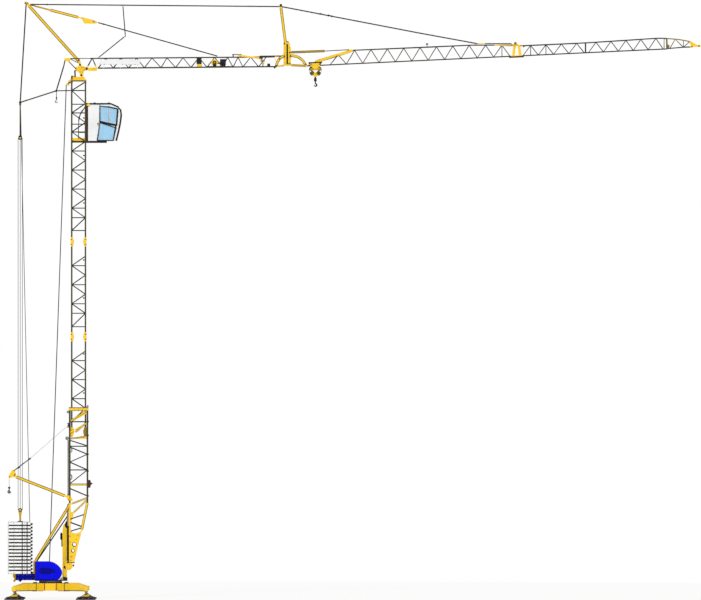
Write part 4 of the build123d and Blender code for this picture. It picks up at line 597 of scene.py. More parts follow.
def add_turned(bm, profile, place, axis, steps=24):
    """Adds a turned piece: profile is (radius, height) pairs, spun round the axis."""
    verts = [bm.verts.new((radius, 0, height)) for radius, height in profile]
    edges = [bm.edges.new(pair) for pair in zip(verts, verts[1:])]
    spun = bmesh.ops.spin(bm, geom=verts + edges, cent=(0, 0, 0), axis=(0, 0, 1), dvec=(0, 0, 0),
                          angle=math.tau, steps=steps, use_merge=True, use_duplicate=False)
    last = {g for g in spun["geom_last"] if isinstance(g, bmesh.types.BMVert)}
    reached, front = set(verts) | last, list(verts)
    while front:
        vert = front.pop()
        for other in [edge.other_vert(vert) for edge in vert.link_edges]:
            if other not in reached:
                reached.add(other)
                front.append(other)
    reached = [v for v in reached if v.is_valid]
    bmesh.ops.transform(bm, matrix=Matrix.Translation(place) @ facing(axis), verts=reached)


def closed(bm):
    """Merges doubles and turns the faces outwards."""
    bmesh.ops.remove_doubles(bm, verts=bm.verts, dist=1e-6)
    bmesh.ops.recalc_face_normals(bm, faces=bm.faces)
    return bm


def add_bolt(bm, place, axis, width=None, washer=True):
    """Adds a six-sided head on its washer, seated at place and standing out along the axis."""
    width = width or bpy.context.scene.crane_sizes.bolt
    seat = Matrix.Translation(place) @ facing(axis)
    if washer:
        bmesh.ops.create_cone(bm, cap_ends=True, segments=12, radius1=width * 0.72, radius2=width * 0.72,
                              depth=width * 0.12, matrix=seat @ Matrix.Translation((0, 0, width * 0.06)))
    bmesh.ops.create_cone(bm, cap_ends=True, segments=6, radius1=width / 2, radius2=width * 0.46,
                          depth=width * 0.36, matrix=seat @ Matrix.Translation((0, 0, width * 0.30)))


def add_rod(bm, start, end, radius, sides=10):
    """Adds a straight round bar with only its two end rings."""
    a, b = Vector(start), Vector(end)
    matrix = Matrix.Translation((a + b) / 2) @ facing(b - a)
    return bmesh.ops.create_cone(bm, cap_ends=True, segments=sides, radius1=radius, radius2=radius,
                                 depth=(b - a).length, matrix=matrix)["verts"]


def add_bar(bm, start, end, width, depth):
    """Adds a straight flat bar: width across Y, depth across its run in the X-Z plane."""
    a, b = Vector(start), Vector(end)
    run = (b - a).normalized()
    side = Vector(ACROSS) - run * run.y
    side.normalize()
    turned = Matrix((run, side, run.cross(side))).transposed().to_4x4()
    matrix = Matrix.Translation((a + b) / 2) @ turned @ Matrix.Diagonal(((b - a).length, width, depth, 1))
    return bmesh.ops.create_cube(bm, size=1, matrix=matrix)["verts"]


def add_edges(bm, start, end, width, depth, thick=0.024, proud=0.008):
    """Adds two strips along the upper and lower sides of a flat bar, for painted shade on its edges."""
    a, b = Vector(start), Vector(end)
    up = (b - a).cross(Vector(ACROSS)).normalized()
    for side in BOTH:
        shift = up * side * (depth / 2 - thick / 2 + proud)
        add_bar(bm, a + shift, b + shift, width, thick)


def add_frame(bm, outline, width, near, far):
    """Adds a thin wall along an outline, from Y near to far. The inset takes no width off the new face."""
    corners = [bm.verts.new((x, near, z)) for x, z in outline]
    face = bm.faces.new(corners)
    band = bmesh.ops.inset_individual(bm, faces=[face], thickness=width, use_even_offset=True)["faces"]
    bmesh.ops.delete(bm, geom=[face], context="FACES_ONLY")
    grown = bmesh.ops.extrude_face_region(bm, geom=band)
    new = [g for g in grown["geom"] if isinstance(g, bmesh.types.BMVert)]
    bmesh.ops.translate(bm, vec=(0, far - near, 0), verts=new)


def add_disc(bm, place, axis, radius, thick, edge=0.15, steps=24):
    """Adds a round boss seated at place, standing out along the axis, with a chamfered rim."""
    chamfer = min(radius, thick) * edge
    add_turned(bm, [(0, 0), (radius, 0), (radius, thick - chamfer), (radius - chamfer, thick), (0, thick)],
               place, axis, steps)


def add_swept(bm, path, radii, sides=10):
    """Adds a bar of round section along a path, with its own radius at each point."""
    points = [Vector(p) for p in path]
    rings = []
    for i, (point, radius) in enumerate(zip(points, radii)):
        run = points[min(i + 1, len(points) - 1)] - points[max(i - 1, 0)]
        matrix = Matrix.Translation(point) @ facing(run)
        ends = i in (0, len(points) - 1)
        made = bmesh.ops.create_circle(bm, cap_ends=ends, segments=sides, radius=radius, matrix=matrix)
        rings.append(made["verts"])
    for first, second in zip(rings, rings[1:]):
        loops = []
        for ring in (first, second):
            inside = set(ring)
            loops += [e for e in {e for v in ring for e in v.link_edges}
                      if e.verts[0] in inside and e.verts[1] in inside]
        bmesh.ops.bridge_loops(bm, edges=loops)


def rim_profile(radius, half):
    """Closed profile of a sheave's grooved rim."""
    inner = radius * 0.74
    return [(inner, -half), (radius, -half), (radius * 0.985, -half * 0.7), (radius * 0.88, -half * 0.25),
            (radius * 0.88, half * 0.25), (radius * 0.985, half * 0.7), (radius, half), (inner, half),
            (inner, -half)]


def web_profile(radius, half):
    """Profile of a sheave's web and hub inside its rim."""
    hub, inner = radius * 0.3, radius * 0.745
    return [(0, -half), (hub, -half), (hub, -half * 0.45), (inner, -half * 0.35), (inner, half * 0.35),
            (hub, half * 0.45), (hub, half), (0, half)]


def add_sheave(rims, webs, x, y, z, radius, half):
    """Adds a grooved rim to one mesh and its web and hub to the other, turned about Y."""
    add_turned(rims, rim_profile(radius, half), (x, y, z), ACROSS, 32)
    add_turned(webs, web_profile(radius, half), (x, y, z), ACROSS, 24)


class FinishOperator(bpy.types.Operator):
    """Make the finishes and paint the frame's own pieces"""
    bl_idname = "crane.finishes"
    bl_label = "Finishes"

    def execute(self, context):
        for make in (plain_finishes, lattice_finishes, zoned_finishes):
            make(context.scene.crane_colours)
        for node, finish in NODE_FINISH.items():
            part = frame["nodes"][node]
            part.data.materials.clear()
            part.data.materials.append(FINISH[finish])
        return {"FINISHED"}


class RoundedOperator(bpy.types.Operator):
    """Copy the welded and cast pieces with rounded edges"""
    bl_idname = "crane.rounded"
    bl_label = "Rounded pieces"

    def execute(self, context):
        sizes = context.scene.crane_sizes
        for nodes, bevel in ((HEAVY, sizes.cast_edge), (PLATES, sizes.edge)):
            for node in nodes:
                skin(node, cad_copy(node), bevel)
        return {"FINISHED"}


LATTICES = ("jib_inner", "jib_outer", "jib_third", "jib_fourth")
COAT = 0.0045
RAIL_START = 8.0
RAIL_CLEAR = 0.030


class LatticeOperator(bpy.types.Operator):
    """Copy the jib's lattices with the thickness of their coat, except on the trolley's rails"""
    bl_idname = "crane.lattices"
    bl_label = "Lattices"

    def execute(self, context):
        for node in LATTICES:
            bm = cad_copy(node)
            bm.normal_update()
            for vert in bm.verts:
                if vert.co.x < RAIL_START or vert.co.z > rail_height(vert.co.x) + RAIL_CLEAR:
                    vert.co += vert.normal * COAT * min(vert.calc_shell_factor(), 1.5)
            skin(node, bm)
        return {"FINISHED"}


class BaseOperator(bpy.types.Operator):
    """Feet, jack screws, pin caps, slewing ring and seams of the undercarriage"""
    bl_idname = "crane.base"
    bl_label = "Base"

    def execute(self, context):
        lay_feet()
        turn_screws()
        cap_pins()
        dress_ring(context.scene.crane_sizes.bolt)
        seam_chassis()
        return {"FINISHED"}


SOLE = [(0, 0), (0.345, 0), (0.357, 0.008), (0.357, 0.042), (0.350, 0.05), (0, 0.05)]
SOLE_STEP = [(0, 0.05), (0.205, 0.05), (0.200, 0.088), (0.190, 0.095), (0.168, 0.098), (0.165, 0.128),
             (0, 0.128)]
SOLE_CONE = [(0, 0.128), (0.135, 0.128), (0.128, 0.140), (0.108, 0.165), (0, 0.165)]
SOLE_CAP = [(0, 0.165), (0.085, 0.165), (0.060, 0.19), (0, 0.19)]
SOLE_RIB = [(0.19, 0.049), (0.335, 0.049), (0.335, 0.056), (0.19, 0.09)]


def lay_feet():
    """Round sole plates with stepped cones, ribs and bolts."""
    soles, steps, cones, bolts = meshes(4)
    for x, y in JACKS:
        for bm, profile, sides in ((soles, SOLE, 48), (steps, SOLE_STEP, 40), (cones, SOLE_CONE, 40),
                                   (soles, SOLE_CAP, 32)):
            add_turned(bm, profile, (x, y, 0), UP, sides)
        for turn in range(8):
            place = Matrix.Translation((x, y, 0)) @ Matrix.Rotation(math.tau * turn / 8, 4, "Z")
            add_prism(soles, SOLE_RIB, -0.007, 0.007, place)
            spot = place @ Matrix.Rotation(math.tau / 16, 4, "Z") @ Vector((0.30, 0, 0.05))
            add_bolt(bolts, spot, UP, 0.026)
    piece("foot_soles", closed(soles), "undercarriage", "black", ("foot_pads",), bevel=0.002)
    piece("foot_steps", closed(steps), "undercarriage", "brown")
    piece("foot_cones", closed(cones), "undercarriage", "yellow")
    piece("foot_bolts", bolts, "undercarriage", "steel")


def turn_screws():
    """Threaded jack screws with a lock nut under each leg."""
    bm = bmesh.new()
    low, high, radius, pitch = 0.188, 0.316, 0.032, 0.0128
    profile = [(0, low), (radius * 0.86, low)]
    for i in range(int((high - low) / pitch)):
        z = low + i * pitch
        profile += [(radius, z + pitch * 0.35), (radius, z + pitch * 0.6), (radius * 0.86, z + pitch)]
    profile += [(0, profile[-1][1])]
    for x, y in JACKS:
        add_turned(bm, profile, (x, y, 0), UP, 20)
        bmesh.ops.create_cone(bm, cap_ends=True, segments=6, radius1=0.056, radius2=0.056, depth=0.03,
                              matrix=Matrix.Translation((x, y, 0.2995)))
    piece("jack_threads", closed(bm), "undercarriage", "steel", ("jack_screws",), bevel=0.001)


LEG_PIN = 0.560


def cap_pins():
    """Domed caps on the leg pins and the wear plates under them."""
    caps, bolts = meshes(2)
    dome = [(0, 0.575), (0.075, 0.575), (0.075, 0.592), (0.064, 0.603), (0.035, 0.609), (0, 0.609)]
    plate = [(0, 0.295), (0.084, 0.295), (0.09, 0.301), (0.09, 0.315), (0, 0.315)]
    for sx, sy in CORNERS:
        x, y = sx * LEG_PIN, sy * LEG_PIN
        for profile in (dome, plate):
            add_turned(caps, profile, (x, y, 0), UP, 32)
        for dx, dy in round_spots(0.06, 6):
            add_bolt(bolts, (x + dx, y + dy, 0.598), UP, 0.014, False)
    piece("pin_caps", closed(caps), "undercarriage", "black", ("leg_pins",))
    piece("pin_bolts", bolts, "undercarriage", "steel")


RING_TEETH = 72
RING_TOOTH = [(0.400, 0.622), (0.412, 0.626), (0.412, 0.656), (0.400, 0.660)]
RING_BOLTS = 36


def dress_ring(bolt):
    """Teeth round the slewing ring's upper half and the bolts that hold its lower half down."""
    teeth, bolts = meshes(2)
    for i in range(RING_TEETH):
        turn = Matrix.Rotation(math.tau * i / RING_TEETH, 4, "Z")
        add_prism(teeth, RING_TOOTH, -0.007, 0.007, turn)
    for x, y in round_spots(0.455, RING_BOLTS, 0.5):
        add_bolt(bolts, (x, y, 0.575), UP, bolt)
    piece("ring_teeth", teeth, "platform", "steel")
    piece("ring_bolts", bolts, "undercarriage", "steel")


def octagon(half):
    """Corners of a square with its corners cut to a regular octagon."""
    short = half * math.tan(math.radians(22.5))
    return [corner for sx, sy in CORNERS for corner in ((sx * half, sy * short), (sx * short, sy * half))]


HUB_HALF = 0.502
LEG_ROOT = 0.503
LEG_TIP = 1.215
LEG_OFFSET = 0.1345


def seam_chassis():
    """Weld seams up the corners of the hub and the legs, black bars along the legs' lower edges as painted
    shade, and skid plates under them.
    """
    seams, edge_shade_and_skids = meshes(2)
    spots = octagon(HUB_HALF)
    for sx, sy in CORNERS:
        for across, along in ((1, 0), (0, 1)):
            root, tip = [(sx * (reach + across * LEG_OFFSET), sy * (reach + along * LEG_OFFSET))
                         for reach in (LEG_ROOT, LEG_TIP)]
            spots.append(root)
            # Black bars along the lower edges of each leg: painted shade under the legs.
            add_bar(edge_shade_and_skids, (*root, 0.320), (*tip, 0.320), 0.016, 0.026)
        low, high = layer(sx, 0.264, 0.693)
        near, far = layer(sy, 0.30, 0.42)
        add_box(edge_shade_and_skids, (low, near, 0.296), (high, far, 0.318))
    for x, y in spots:
        add_rod(seams, (x, y, 0.318), (x, y, 0.572), 0.014, 8)
    piece("hub_seams", seams, "undercarriage", "brown")
    piece("hub_edge_shade_and_skids", edge_shade_and_skids, "undercarriage", "black", bevel=0.003)


BALLAST_X = (-1.510, -0.705)
BALLAST_HALF = 0.600
BALLAST_LOW = 0.915
BALLAST_TOP = 2.7675
SLABS = 15
SLAB_PITCH = 0.1235
SLAB_BODY = 0.0815
SLAB_LIFT = 0.024
SLAB_PROUD = 0.005
SLAB_CHAMFER = 0.050


class BallastOperator(bpy.types.Operator):
    """Cast slabs with dark fill in the gaps between them as painted shadow, their sockets, ties and grey
    strips along their edges
    """
    bl_idname = "crane.ballast"
    bl_label = "Ballast"

    def execute(self, context):
        stack_slabs()
        tie_slabs()
        edge_slabs()
        return {"FINISHED"}


def slab_levels():
    """Bottom and top of each slab, from the lowest one up."""
    levels = []
    for index in range(SLABS):
        low = BALLAST_LOW + (index * SLAB_PITCH + SLAB_LIFT if index else 0.0)
        levels.append((low, BALLAST_LOW + index * SLAB_PITCH + SLAB_BODY + SLAB_LIFT))
    levels[-1] = (levels[-1][0], BALLAST_TOP)
    return levels


def stack_slabs():
    """Slabs in two sets, dark fill in their gaps as painted shadow, and the sockets in their sides."""
    odd, even, gap_shadow, eyes = meshes(4)
    rear, front = BALLAST_X
    reach = BALLAST_HALF + SLAB_PROUD
    socket = [(0.009, 0), (0.015, 0), (0.015, 0.004), (0.009, 0.004), (0.009, 0)]
    levels = slab_levels()
    for index, (low, top) in enumerate(levels):
        outline = [(rear, low), (front, low), (front, top), (rear, top)]
        if index == SLABS - 1:
            outline[2:3] = [(front, top - SLAB_CHAMFER), (front - SLAB_CHAMFER, top)]
        add_prism(even if index % 2 else odd, outline, -BALLAST_HALF, BALLAST_HALF)
        for x, side in [(x, side) for x in (-1.30, -0.92) for side in BOTH]:
            add_turned(eyes, socket, (x, side * BALLAST_HALF, (low + top) / 2), (0, side, 0), 16)
    # Dark boxes nearly flush in the gaps between the slabs: painted shadow of the gaps.
    for low, top in levels[:-1]:
        gap_top = top + SLAB_PITCH - SLAB_BODY + SLAB_PROUD
        add_box(gap_shadow, (rear + 0.03, -reach, top - SLAB_PROUD), (front - 0.01, reach, gap_top))
    piece("slabs_odd", odd, "platform", "concrete", ("ballast_slabs_odd",), bevel=0.006)
    piece("slabs_even", even, "platform", "concrete", ("ballast_slabs_even",), bevel=0.006)
    piece("slab_gap_shadow", gap_shadow, "platform", "rubber", bevel=0.004)
    piece("slab_sockets", closed(eyes), "platform", "steel")


def tie_slabs():
    """Dark tie bars down both sides of the stack."""
    ties = bmesh.new()
    for x, width in ((-1.0035, 0.020), (-0.823, 0.014)):
        for side in BOTH:
            near, far = layer(side, BALLAST_HALF - 0.001, BALLAST_HALF + 0.006)
            add_box(ties, (x - width / 2, near, BALLAST_LOW), (x + width / 2, far, BALLAST_TOP - 0.002))
    piece("slab_ties", ties, "platform", "rubber", bevel=0.002)


def edge_slabs():
    """Grey strips along the rear, upper and lower edges of the stack's sides."""
    edges = bmesh.new()
    rear, front = BALLAST_X
    for side in BOTH:
        near, far = layer(side, BALLAST_HALF - 0.001, BALLAST_HALF + 0.003)
        for low, high in (((rear - 0.002, BALLAST_LOW), (rear + 0.012, BALLAST_TOP)),
                          ((rear, BALLAST_TOP - 0.012), (front - SLAB_CHAMFER, BALLAST_TOP + 0.002)),
                          ((rear, BALLAST_LOW - 0.002), (front, BALLAST_LOW + 0.012))):
            add_box(edges, (low[0], near, low[1]), (high[0], far, high[1]))
    piece("slab_edges", edges, "platform", "steel", bevel=0.001)


def arc_points(a, b, c, steps):
    """Points of the circular arc that runs from a over b to c."""
    (ax, az), (bx, bz), (cx, cz) = a, b, c
    double = 2 * (ax * (bz - cz) + bx * (cz - az) + cx * (az - bz))
    squares = [x * x + z * z for x, z in (a, b, c)]
    mx = (squares[0] * (bz - cz) + squares[1] * (cz - az) + squares[2] * (az - bz)) / double
    mz = (squares[0] * (cx - bx) + squares[1] * (ax - cx) + squares[2] * (bx - ax)) / double
    radius = math.hypot(ax - mx, az - mz)
    start = math.atan2(az - mz, ax - mx)
    sweep = [(math.atan2(z - mz, x - mx) - start) % math.tau for x, z in (b, c)]
    turn = sweep[1] if sweep[0] < sweep[1] else sweep[1] - math.tau
    spins = [start + turn * i / steps for i in range(steps + 1)]
    return [(mx + radius * math.cos(spin), mz + radius * math.sin(spin)) for spin in spins]


COVER_HALF = 0.400
COVER_REAR = -0.555
COVER_TOP = 1.355


class HousingOperator(bpy.types.Operator):
    """Moulded machinery housing with its sunk side panels, and the beam behind it"""
    bl_idname = "crane.housing"
    bl_label = "Housing"

    def execute(self, context):
        mould_housing()
        panel_housing()
        dress_beam(context.scene.crane_sizes.bolt)
        return {"FINISHED"}


def mould_housing():
    """Shell with a curved nose and well rounded rims."""
    over = arc_points((-0.165, COVER_TOP), (0.225, 1.245), (0.415, 0.975), 10)
    under = arc_points((0.415, 0.975), (0.38, 0.83), (0.265, DECK_TOP), 6)
    outline = [(COVER_REAR, DECK_TOP), (COVER_REAR, COVER_TOP)] + over + under[1:]
    bm = bmesh.new()
    add_prism(bm, outline, -COVER_HALF, COVER_HALF)
    closed(bm)
    rims = [e for e in bm.edges if abs(e.verts[0].co.y - e.verts[1].co.y) < 1e-6
            and min(v.co.z for v in e.verts) > DECK_TOP + 1e-4]
    bmesh.ops.bevel(bm, geom=rims, offset=0.045, offset_type="OFFSET", segments=5, profile=0.5,
                    affect="EDGES", material=-1)
    piece("housing_shell", closed(bm), "platform", "housing", ("machinery_cover",), sharp=40)


def panel_housing():
    """Drop-shaped panels on both sides, in a darker blue that is painted shade of their sinking, each in a
    thin raised rim darkened nearly to black as painted shade at its edge, with a skirt along the bottom in
    the same painted shade.
    """
    round_end = arc_points((-0.31, 1.125), (-0.42, 1.02), (-0.31, 0.915), 10)
    drop = round_end + [(-0.16, 0.900), (0.0, 0.915), (0.11, 0.955), (0.190, 0.995), (0.110, 1.060),
                        (0.0, 1.115), (-0.16, 1.130)]
    panels, beads, skirt, edge = meshes(4)
    rear, floor = COVER_REAR, DECK_TOP + 0.001
    for side in BOTH:
        near, far = layer(side, COVER_HALF - 0.004, COVER_HALF + 0.002)
        add_prism(panels, drop, near, far)
        near, far = layer(side, COVER_HALF - 0.004, COVER_HALF + 0.006)
        add_frame(beads, drop, 0.024, near, far)
        add_box(edge, (rear - 0.003, near, floor), (rear + 0.034, far, COVER_TOP - 0.045))
        near, far = layer(side, COVER_HALF - 0.004, COVER_HALF + 0.008)
        add_box(skirt, (rear + 0.02, near, floor), (0.25, far, DECK_TOP + 0.035))
    # Painted shade: darker blue on the panels and the skirt, near-black on the rims.
    piece("housing_panels", closed(panels), "platform", "recess")
    piece("housing_beads", closed(beads), "platform", "deep", bevel=0.002)
    piece("housing_edge", edge, "platform", "rubber", bevel=0.003)
    piece("housing_skirt", skirt, "platform", "recess", bevel=0.003)


def dress_beam(bolt):
    """End plate, stiffeners and bolts of the rear beam."""
    ribs, bolts = meshes(2)
    for low, high in ((-1.242, -1.205), (-0.648, -0.612)):
        for side in BOTH:
            near, far = layer(side, 0.258, 0.268)
            add_box(ribs, (low, near, DECK_TOP + 0.004), (high, far, 0.910))
    for x in (-1.15, -0.98, -0.84, -0.70):
        for side in BOTH:
            for z in (0.73, 0.87):
                add_bolt(bolts, (x, side * 0.26, z), (0, side, 0), bolt * 0.5)
    piece("beam_ribs", ribs, "platform", "rubber", bevel=0.002)
    piece("beam_bolts", bolts, "platform", "steel")


FOOT_Y = 0.326
FOOT_HOLES = ((0.855, 1.960, 0.068), (0.800, 1.740, 0.054))
FOOT_PLUG = (0.748, 1.530, 0.032)


class MastFootOperator(bpy.types.Operator):
    """Rings, braces, pins and gear at the mast's foot"""
    bl_idname = "crane.mast_foot"
    bl_label = "Mast foot"

    def execute(self, context):
        ring_holes()
        brace_foot()
        plate_bars()
        pin_foot(context.scene.crane_sizes.bolt)
        stop_foot()
        dress_cylinders()
        dress_post()
        return {"FINISHED"}


def ring_holes():
    """Turned collars round the lightening holes of the foot plates, and an orange plug in the lowest one."""
    rings, plugs = meshes(2)
    for side in BOTH:
        out = (0, side, 0)
        for x, z, radius in FOOT_HOLES:
            inner, neck, rim = radius - 0.003, radius + 0.003, radius + 0.014
            profile = [(inner, -0.021), (rim, -0.021), (rim, -0.019), (neck, -0.019), (neck, -0.001),
                       (rim, -0.001), (rim, 0.004), (inner, 0.004), (inner, -0.021)]
            add_turned(rings, profile, (x, side * FOOT_Y, z), out, 28)
        x, z, radius = FOOT_PLUG
        rim = radius + 0.008
        profile = [(0, -0.014), (rim, -0.014), (rim, 0.004), (0, 0.004)]
        add_turned(plugs, profile, (x, side * FOOT_Y, z), out, 28)
    piece("foot_rings_black", closed(rings), "platform", "black")
    piece("foot_rings_orange", closed(plugs), "platform", "orange")


FOOT_BRACES = (((0.706, 2.866), (1.20, 3.030)), ((0.706, 2.746), (1.11, 2.598)),
               ((0.706, 2.430), (1.085, 2.546)))


def brace_foot():
    """Dark sleeves over the lower braces of the side frames."""
    sleeves = bmesh.new()
    for side in BOTH:
        for ends in FOOT_BRACES:
            add_bar(sleeves, *at_side(side * OUTER_HALF, *ends), 0.037, 0.037)
    piece("foot_brace_sleeves", sleeves, "platform", "black", bevel=0.003)


FOOT_BARS = (((0.780, 3.421), (1.300, 3.619), 0.052), ((0.840, 3.115), (1.300, 3.550), 0.052),
             ((1.117, 2.493), (1.312, 3.440), 0.076), ((0.716, 4.100), (1.284, 4.100), 0.055))
COLLAR_BARS = (((0.734, 6.374), (1.2546, 6.712), 0.058), ((0.887, 5.974), (1.2546, 6.281), 0.058),
               ((0.716, 5.736), (1.290, 5.822), 0.042))


def plate_bars():
    """Yellow face bars on the outer mast with dark strips of painted shade along their edges, and the same
    painted shade along the edges of the back braces.
    """
    bars, edges = meshes(2)
    for side in BOTH:
        for start, end, depth in FOOT_BARS + COLLAR_BARS:
            ends = at_side(side * 0.322, start, end)
            add_bar(bars, *ends, 0.038, depth)
            add_edges(edges, *ends, 0.041, depth, 0.016, 0.004)
        add_edges(edges, *at_side(side * 0.230, (-0.520, 1.405), (0.655, 3.336)), 0.064, 0.078)
        near, far = layer(side, 0.348, 0.354)
        for low, high in ((6.838, 6.857), (6.728, 6.744)):
            add_box(edges, (0.655, near, low), (1.345, far, high))
    piece("mast_face_bars", bars, "platform", "yellow", bevel=0.003)
    piece("mast_bar_edge_shade", edges, "platform", "edge", bevel=0.002)


FOOT_PIVOT = (0.655, 1.163)
FOOT_BOLTS = ((0.74, 1.40), (0.70, 1.40), (0.70, 2.05), (0.71, 2.25), (0.98, 2.28), (0.93, 2.14))


def pin_foot(bolt):
    """Pivot caps on the shoes, and bolts on the foot plates."""
    caps, bolts = meshes(2)
    cap = [(0, 0), (0.055, 0), (0.055, 0.010), (0.046, 0.016), (0, 0.016)]
    x, z = FOOT_PIVOT
    for side in BOTH:
        out, face = (0, side, 0), side * 0.338
        add_turned(caps, cap, (x, face, z), out, 32)
        for place in at_side(side * FOOT_Y, *FOOT_BOLTS):
            add_bolt(bolts, place, out, bolt)
        for dx, dz in round_spots(0.09, 6):
            add_bolt(bolts, (x + dx, face, z + dz), out, bolt * 0.7, False)
    piece("foot_caps", closed(caps), "platform", "yellow")
    piece("foot_plate_bolts", bolts, "platform", "steel")


def stop_foot():
    """Lock plates on the foot plates, and the rods that run beside the back braces."""
    stops = bmesh.new()
    for side in BOTH:
        inner = FOOT_Y - 0.001
        near, far = layer(side, inner, FOOT_Y + 0.014)
        add_box(stops, (0.570, near, 1.298), (0.857, far, 1.324))
        add_disc(stops, (0.815, side * inner, 1.215), (0, side, 0), 0.026, 0.016)
        add_rod(stops, (-0.499, side * 0.230, 1.350), (0.590, side * 0.092, 2.953), 0.021, 12)
    piece("foot_stops", closed(stops), "platform", "black", bevel=0.002)


def tube(inner, outer, height):
    """Closed profile of a plain tube, from its lower end up."""
    return [(inner, 0), (outer, 0), (outer, height), (inner, height), (inner, 0)]


CYLINDER_X = 0.622


def dress_cylinders():
    """Glands and bare rods of the erecting cylinders."""
    glands, rods = meshes(2)
    gland = [(0.021, 0), (0.041, 0), (0.041, 0.05), (0.036, 0.056), (0.036, 0.075), (0.021, 0.075),
             (0.021, 0)]
    for y in (-0.17, 0.17):
        add_turned(glands, gland, (CYLINDER_X, y, 2.55), UP, 24)
        add_turned(glands, tube(0.033, 0.039, 0.03), (CYLINDER_X, y, 1.42), UP, 24)
        add_turned(rods, tube(0.0195, 0.0215, 0.74), (CYLINDER_X, y, 2.62), UP, 20)
    piece("cylinder_glands", closed(glands), "platform", "black")
    piece("cylinder_rods", closed(rods), "platform", "steel")


SHOULDER = [(0.50, 2.66), (0.56, 2.79), (0.60, 2.80), (0.62, 2.73), (0.585, 2.55), (0.54, 2.55)]


def dress_post():
    """Black joint plates at the post's shoulder, and the drive on the post with its fins."""
    joint, fins = meshes(2)
    for side in BOTH:
        out = (0, side, 0)
        add_prism(joint, SHOULDER, *layer(side, 0.103, 0.113))
        add_disc(joint, (0.555, side * 0.111, 2.62), out, 0.026, 0.01)
        add_disc(joint, (0.52, side * 0.103, 1.15), out, 0.055, 0.014)
    add_box(joint, (0.385, -0.04, 1.88), (0.425, 0.04, 2.14))
    for i in range(7):
        add_turned(fins, tube(0.039, 0.045, 0.008), (0.385, 0, 2.18 + i * 0.024), UP, 20)
    piece("post_joint", closed(joint), "platform", "black", bevel=0.002)
    piece("drive_fins", closed(fins), "platform", "black")


MAST_JOINTS = (12.765, 9.375)
CLIP_LEVELS = (17.189, 15.846, 14.153, 12.118, 10.761, 8.761, 7.368)
OUTER_CLIPS = (6.343, 5.854, 5.179, 4.579, 3.689)
LOOP_LEVELS = (5.33, 4.36)
LOOP_SHAPE = ((-0.004, 0.085), (0.029, 0.075), (0.049, 0.04))
CAB_LEVELS = (17.680, 16.968)
CAB_CABLE = ((1.235, 17.60), (1.16, 17.46), (1.06, 17.30), (1.012, 17.08), (1.0, 16.86), (1.0, 16.45))


class MastOperator(bpy.types.Operator):
    """Joint pins, cable clips, shoes, loops and guide fittings of both masts"""
    bl_idname = "crane.masts"
    bl_label = "Masts"

    def execute(self, context):
        bolt = context.scene.crane_sizes.bolt
        pin_joints(bolt)
        clip_inner_mast()
        rail_cab()
        dress_outer_mast(bolt)
        turn_guides()
        return {"FINISHED"}


def pin_joints(bolt):
    """Pins with washers through the corner gussets at each mast joint."""
    pins, bolts = meshes(2)
    face = MAST_HALF + MAST_CHORD / 2 + 0.007
    for z in MAST_JOINTS:
        for sx, sy in CORNERS:
            for level in (z - 0.09, z + 0.09):
                for place, out in (((MAST_X + sx * MAST_HALF, sy * face, level), (0, sy, 0)),
                                   ((MAST_X + sx * face, sy * MAST_HALF, level), (sx, 0, 0))):
                    add_disc(pins, place, out, 0.020, 0.006, 0.2, 16)
            add_bolt(bolts, (MAST_X + sx * 0.19, sy * face, z), (0, sy, 0), bolt * 0.5)
    piece("joint_pins", closed(pins), "inner_mast", "black")
    piece("joint_bolts", bolts, "inner_mast", "steel")


def clip_inner_mast():
    """Cable clips inside the front chords, and the black level bars beside the cab."""
    clips = bmesh.new()
    grip = [(0, -0.014), (0.022, -0.014), (0.026, 0), (0.022, 0.014), (0, 0.014)]
    for y in (-MAST_HALF, MAST_HALF):
        for z in CLIP_LEVELS:
            add_rod(clips, (1.222, y, z), (1.184, y, z), 0.013, 12)
            add_turned(clips, grip, (1.182, y, z), ACROSS, 16)
        for z in CAB_LEVELS:
            add_bar(clips, (MAST_X - MAST_HALF, y, z), (MAST_X + MAST_HALF, y, z), 0.028, 0.030)
            add_bar(clips, (MAST_X + y, -MAST_HALF, z), (MAST_X + y, MAST_HALF, z), 0.028, 0.030)
        add_bar(clips, (0.770, y, 16.336), (1.230, y, 16.336), 0.050, 0.050)
    piece("cable_clips", closed(clips), "inner_mast", "black")


def rail_cab():
    """Brown rails between the mast and the cab, and the cable that hangs down beside them."""
    rails, lead = meshes(2)
    for side in BOTH:
        near, far = layer(side, 0.205, 0.262)
        add_box(rails, (MAST_X + MAST_HALF + MAST_CHORD / 2 - 0.001, near, 16.36), (1.338, far, 17.64))
    add_swept(lead, at_side(-0.236, *CAB_CABLE), [0.015] * len(CAB_CABLE))
    piece("cab_rails", rails, "inner_mast", "brown", bevel=0.003)
    piece("cable_lead", closed(lead), "inner_mast", "black")


def dress_outer_mast(bolt):
    """Knobs on the front chords, loops on the rear ones and bolts round the collar."""
    knobs, loops, bolts = meshes(3)
    front, rear = MAST_X + OUTER_HALF, MAST_X - OUTER_HALF + OUTER_CHORD / 2
    reach = OUTER_CHORD / 2 - 0.001
    for side in BOTH:
        y, out = side * OUTER_HALF, (0, side, 0)
        for z in OUTER_CLIPS:
            add_turned(knobs, [(0, 0), (0.024, 0), (0.024, 0.012), (0.014, 0.022), (0, 0.022)],
                       (front + reach, y, z), ALONG, 16)
            add_disc(knobs, (front, y + side * reach, z), out, 0.022, 0.008, 0.2, 16)
        for z in LOOP_LEVELS:
            upper = [(rear + dx, y, z + dz) for dx, dz in LOOP_SHAPE]
            lower = [(rear + dx, y, z - dz) for dx, dz in reversed(LOOP_SHAPE)]
            add_swept(loops, upper + lower, [0.012] * (2 * len(LOOP_SHAPE)), 8)
        for x in (0.70, 0.85, 1.0, 1.15, 1.30):
            for z in (6.76, 6.83):
                add_bolt(bolts, (x, side * 0.349, z), out, bolt * 0.8)
    piece("mast_knobs", closed(knobs), "platform", "black")
    piece("mast_loops", closed(loops), "platform", "black")
    piece("collar_bolts", bolts, "platform", "steel")


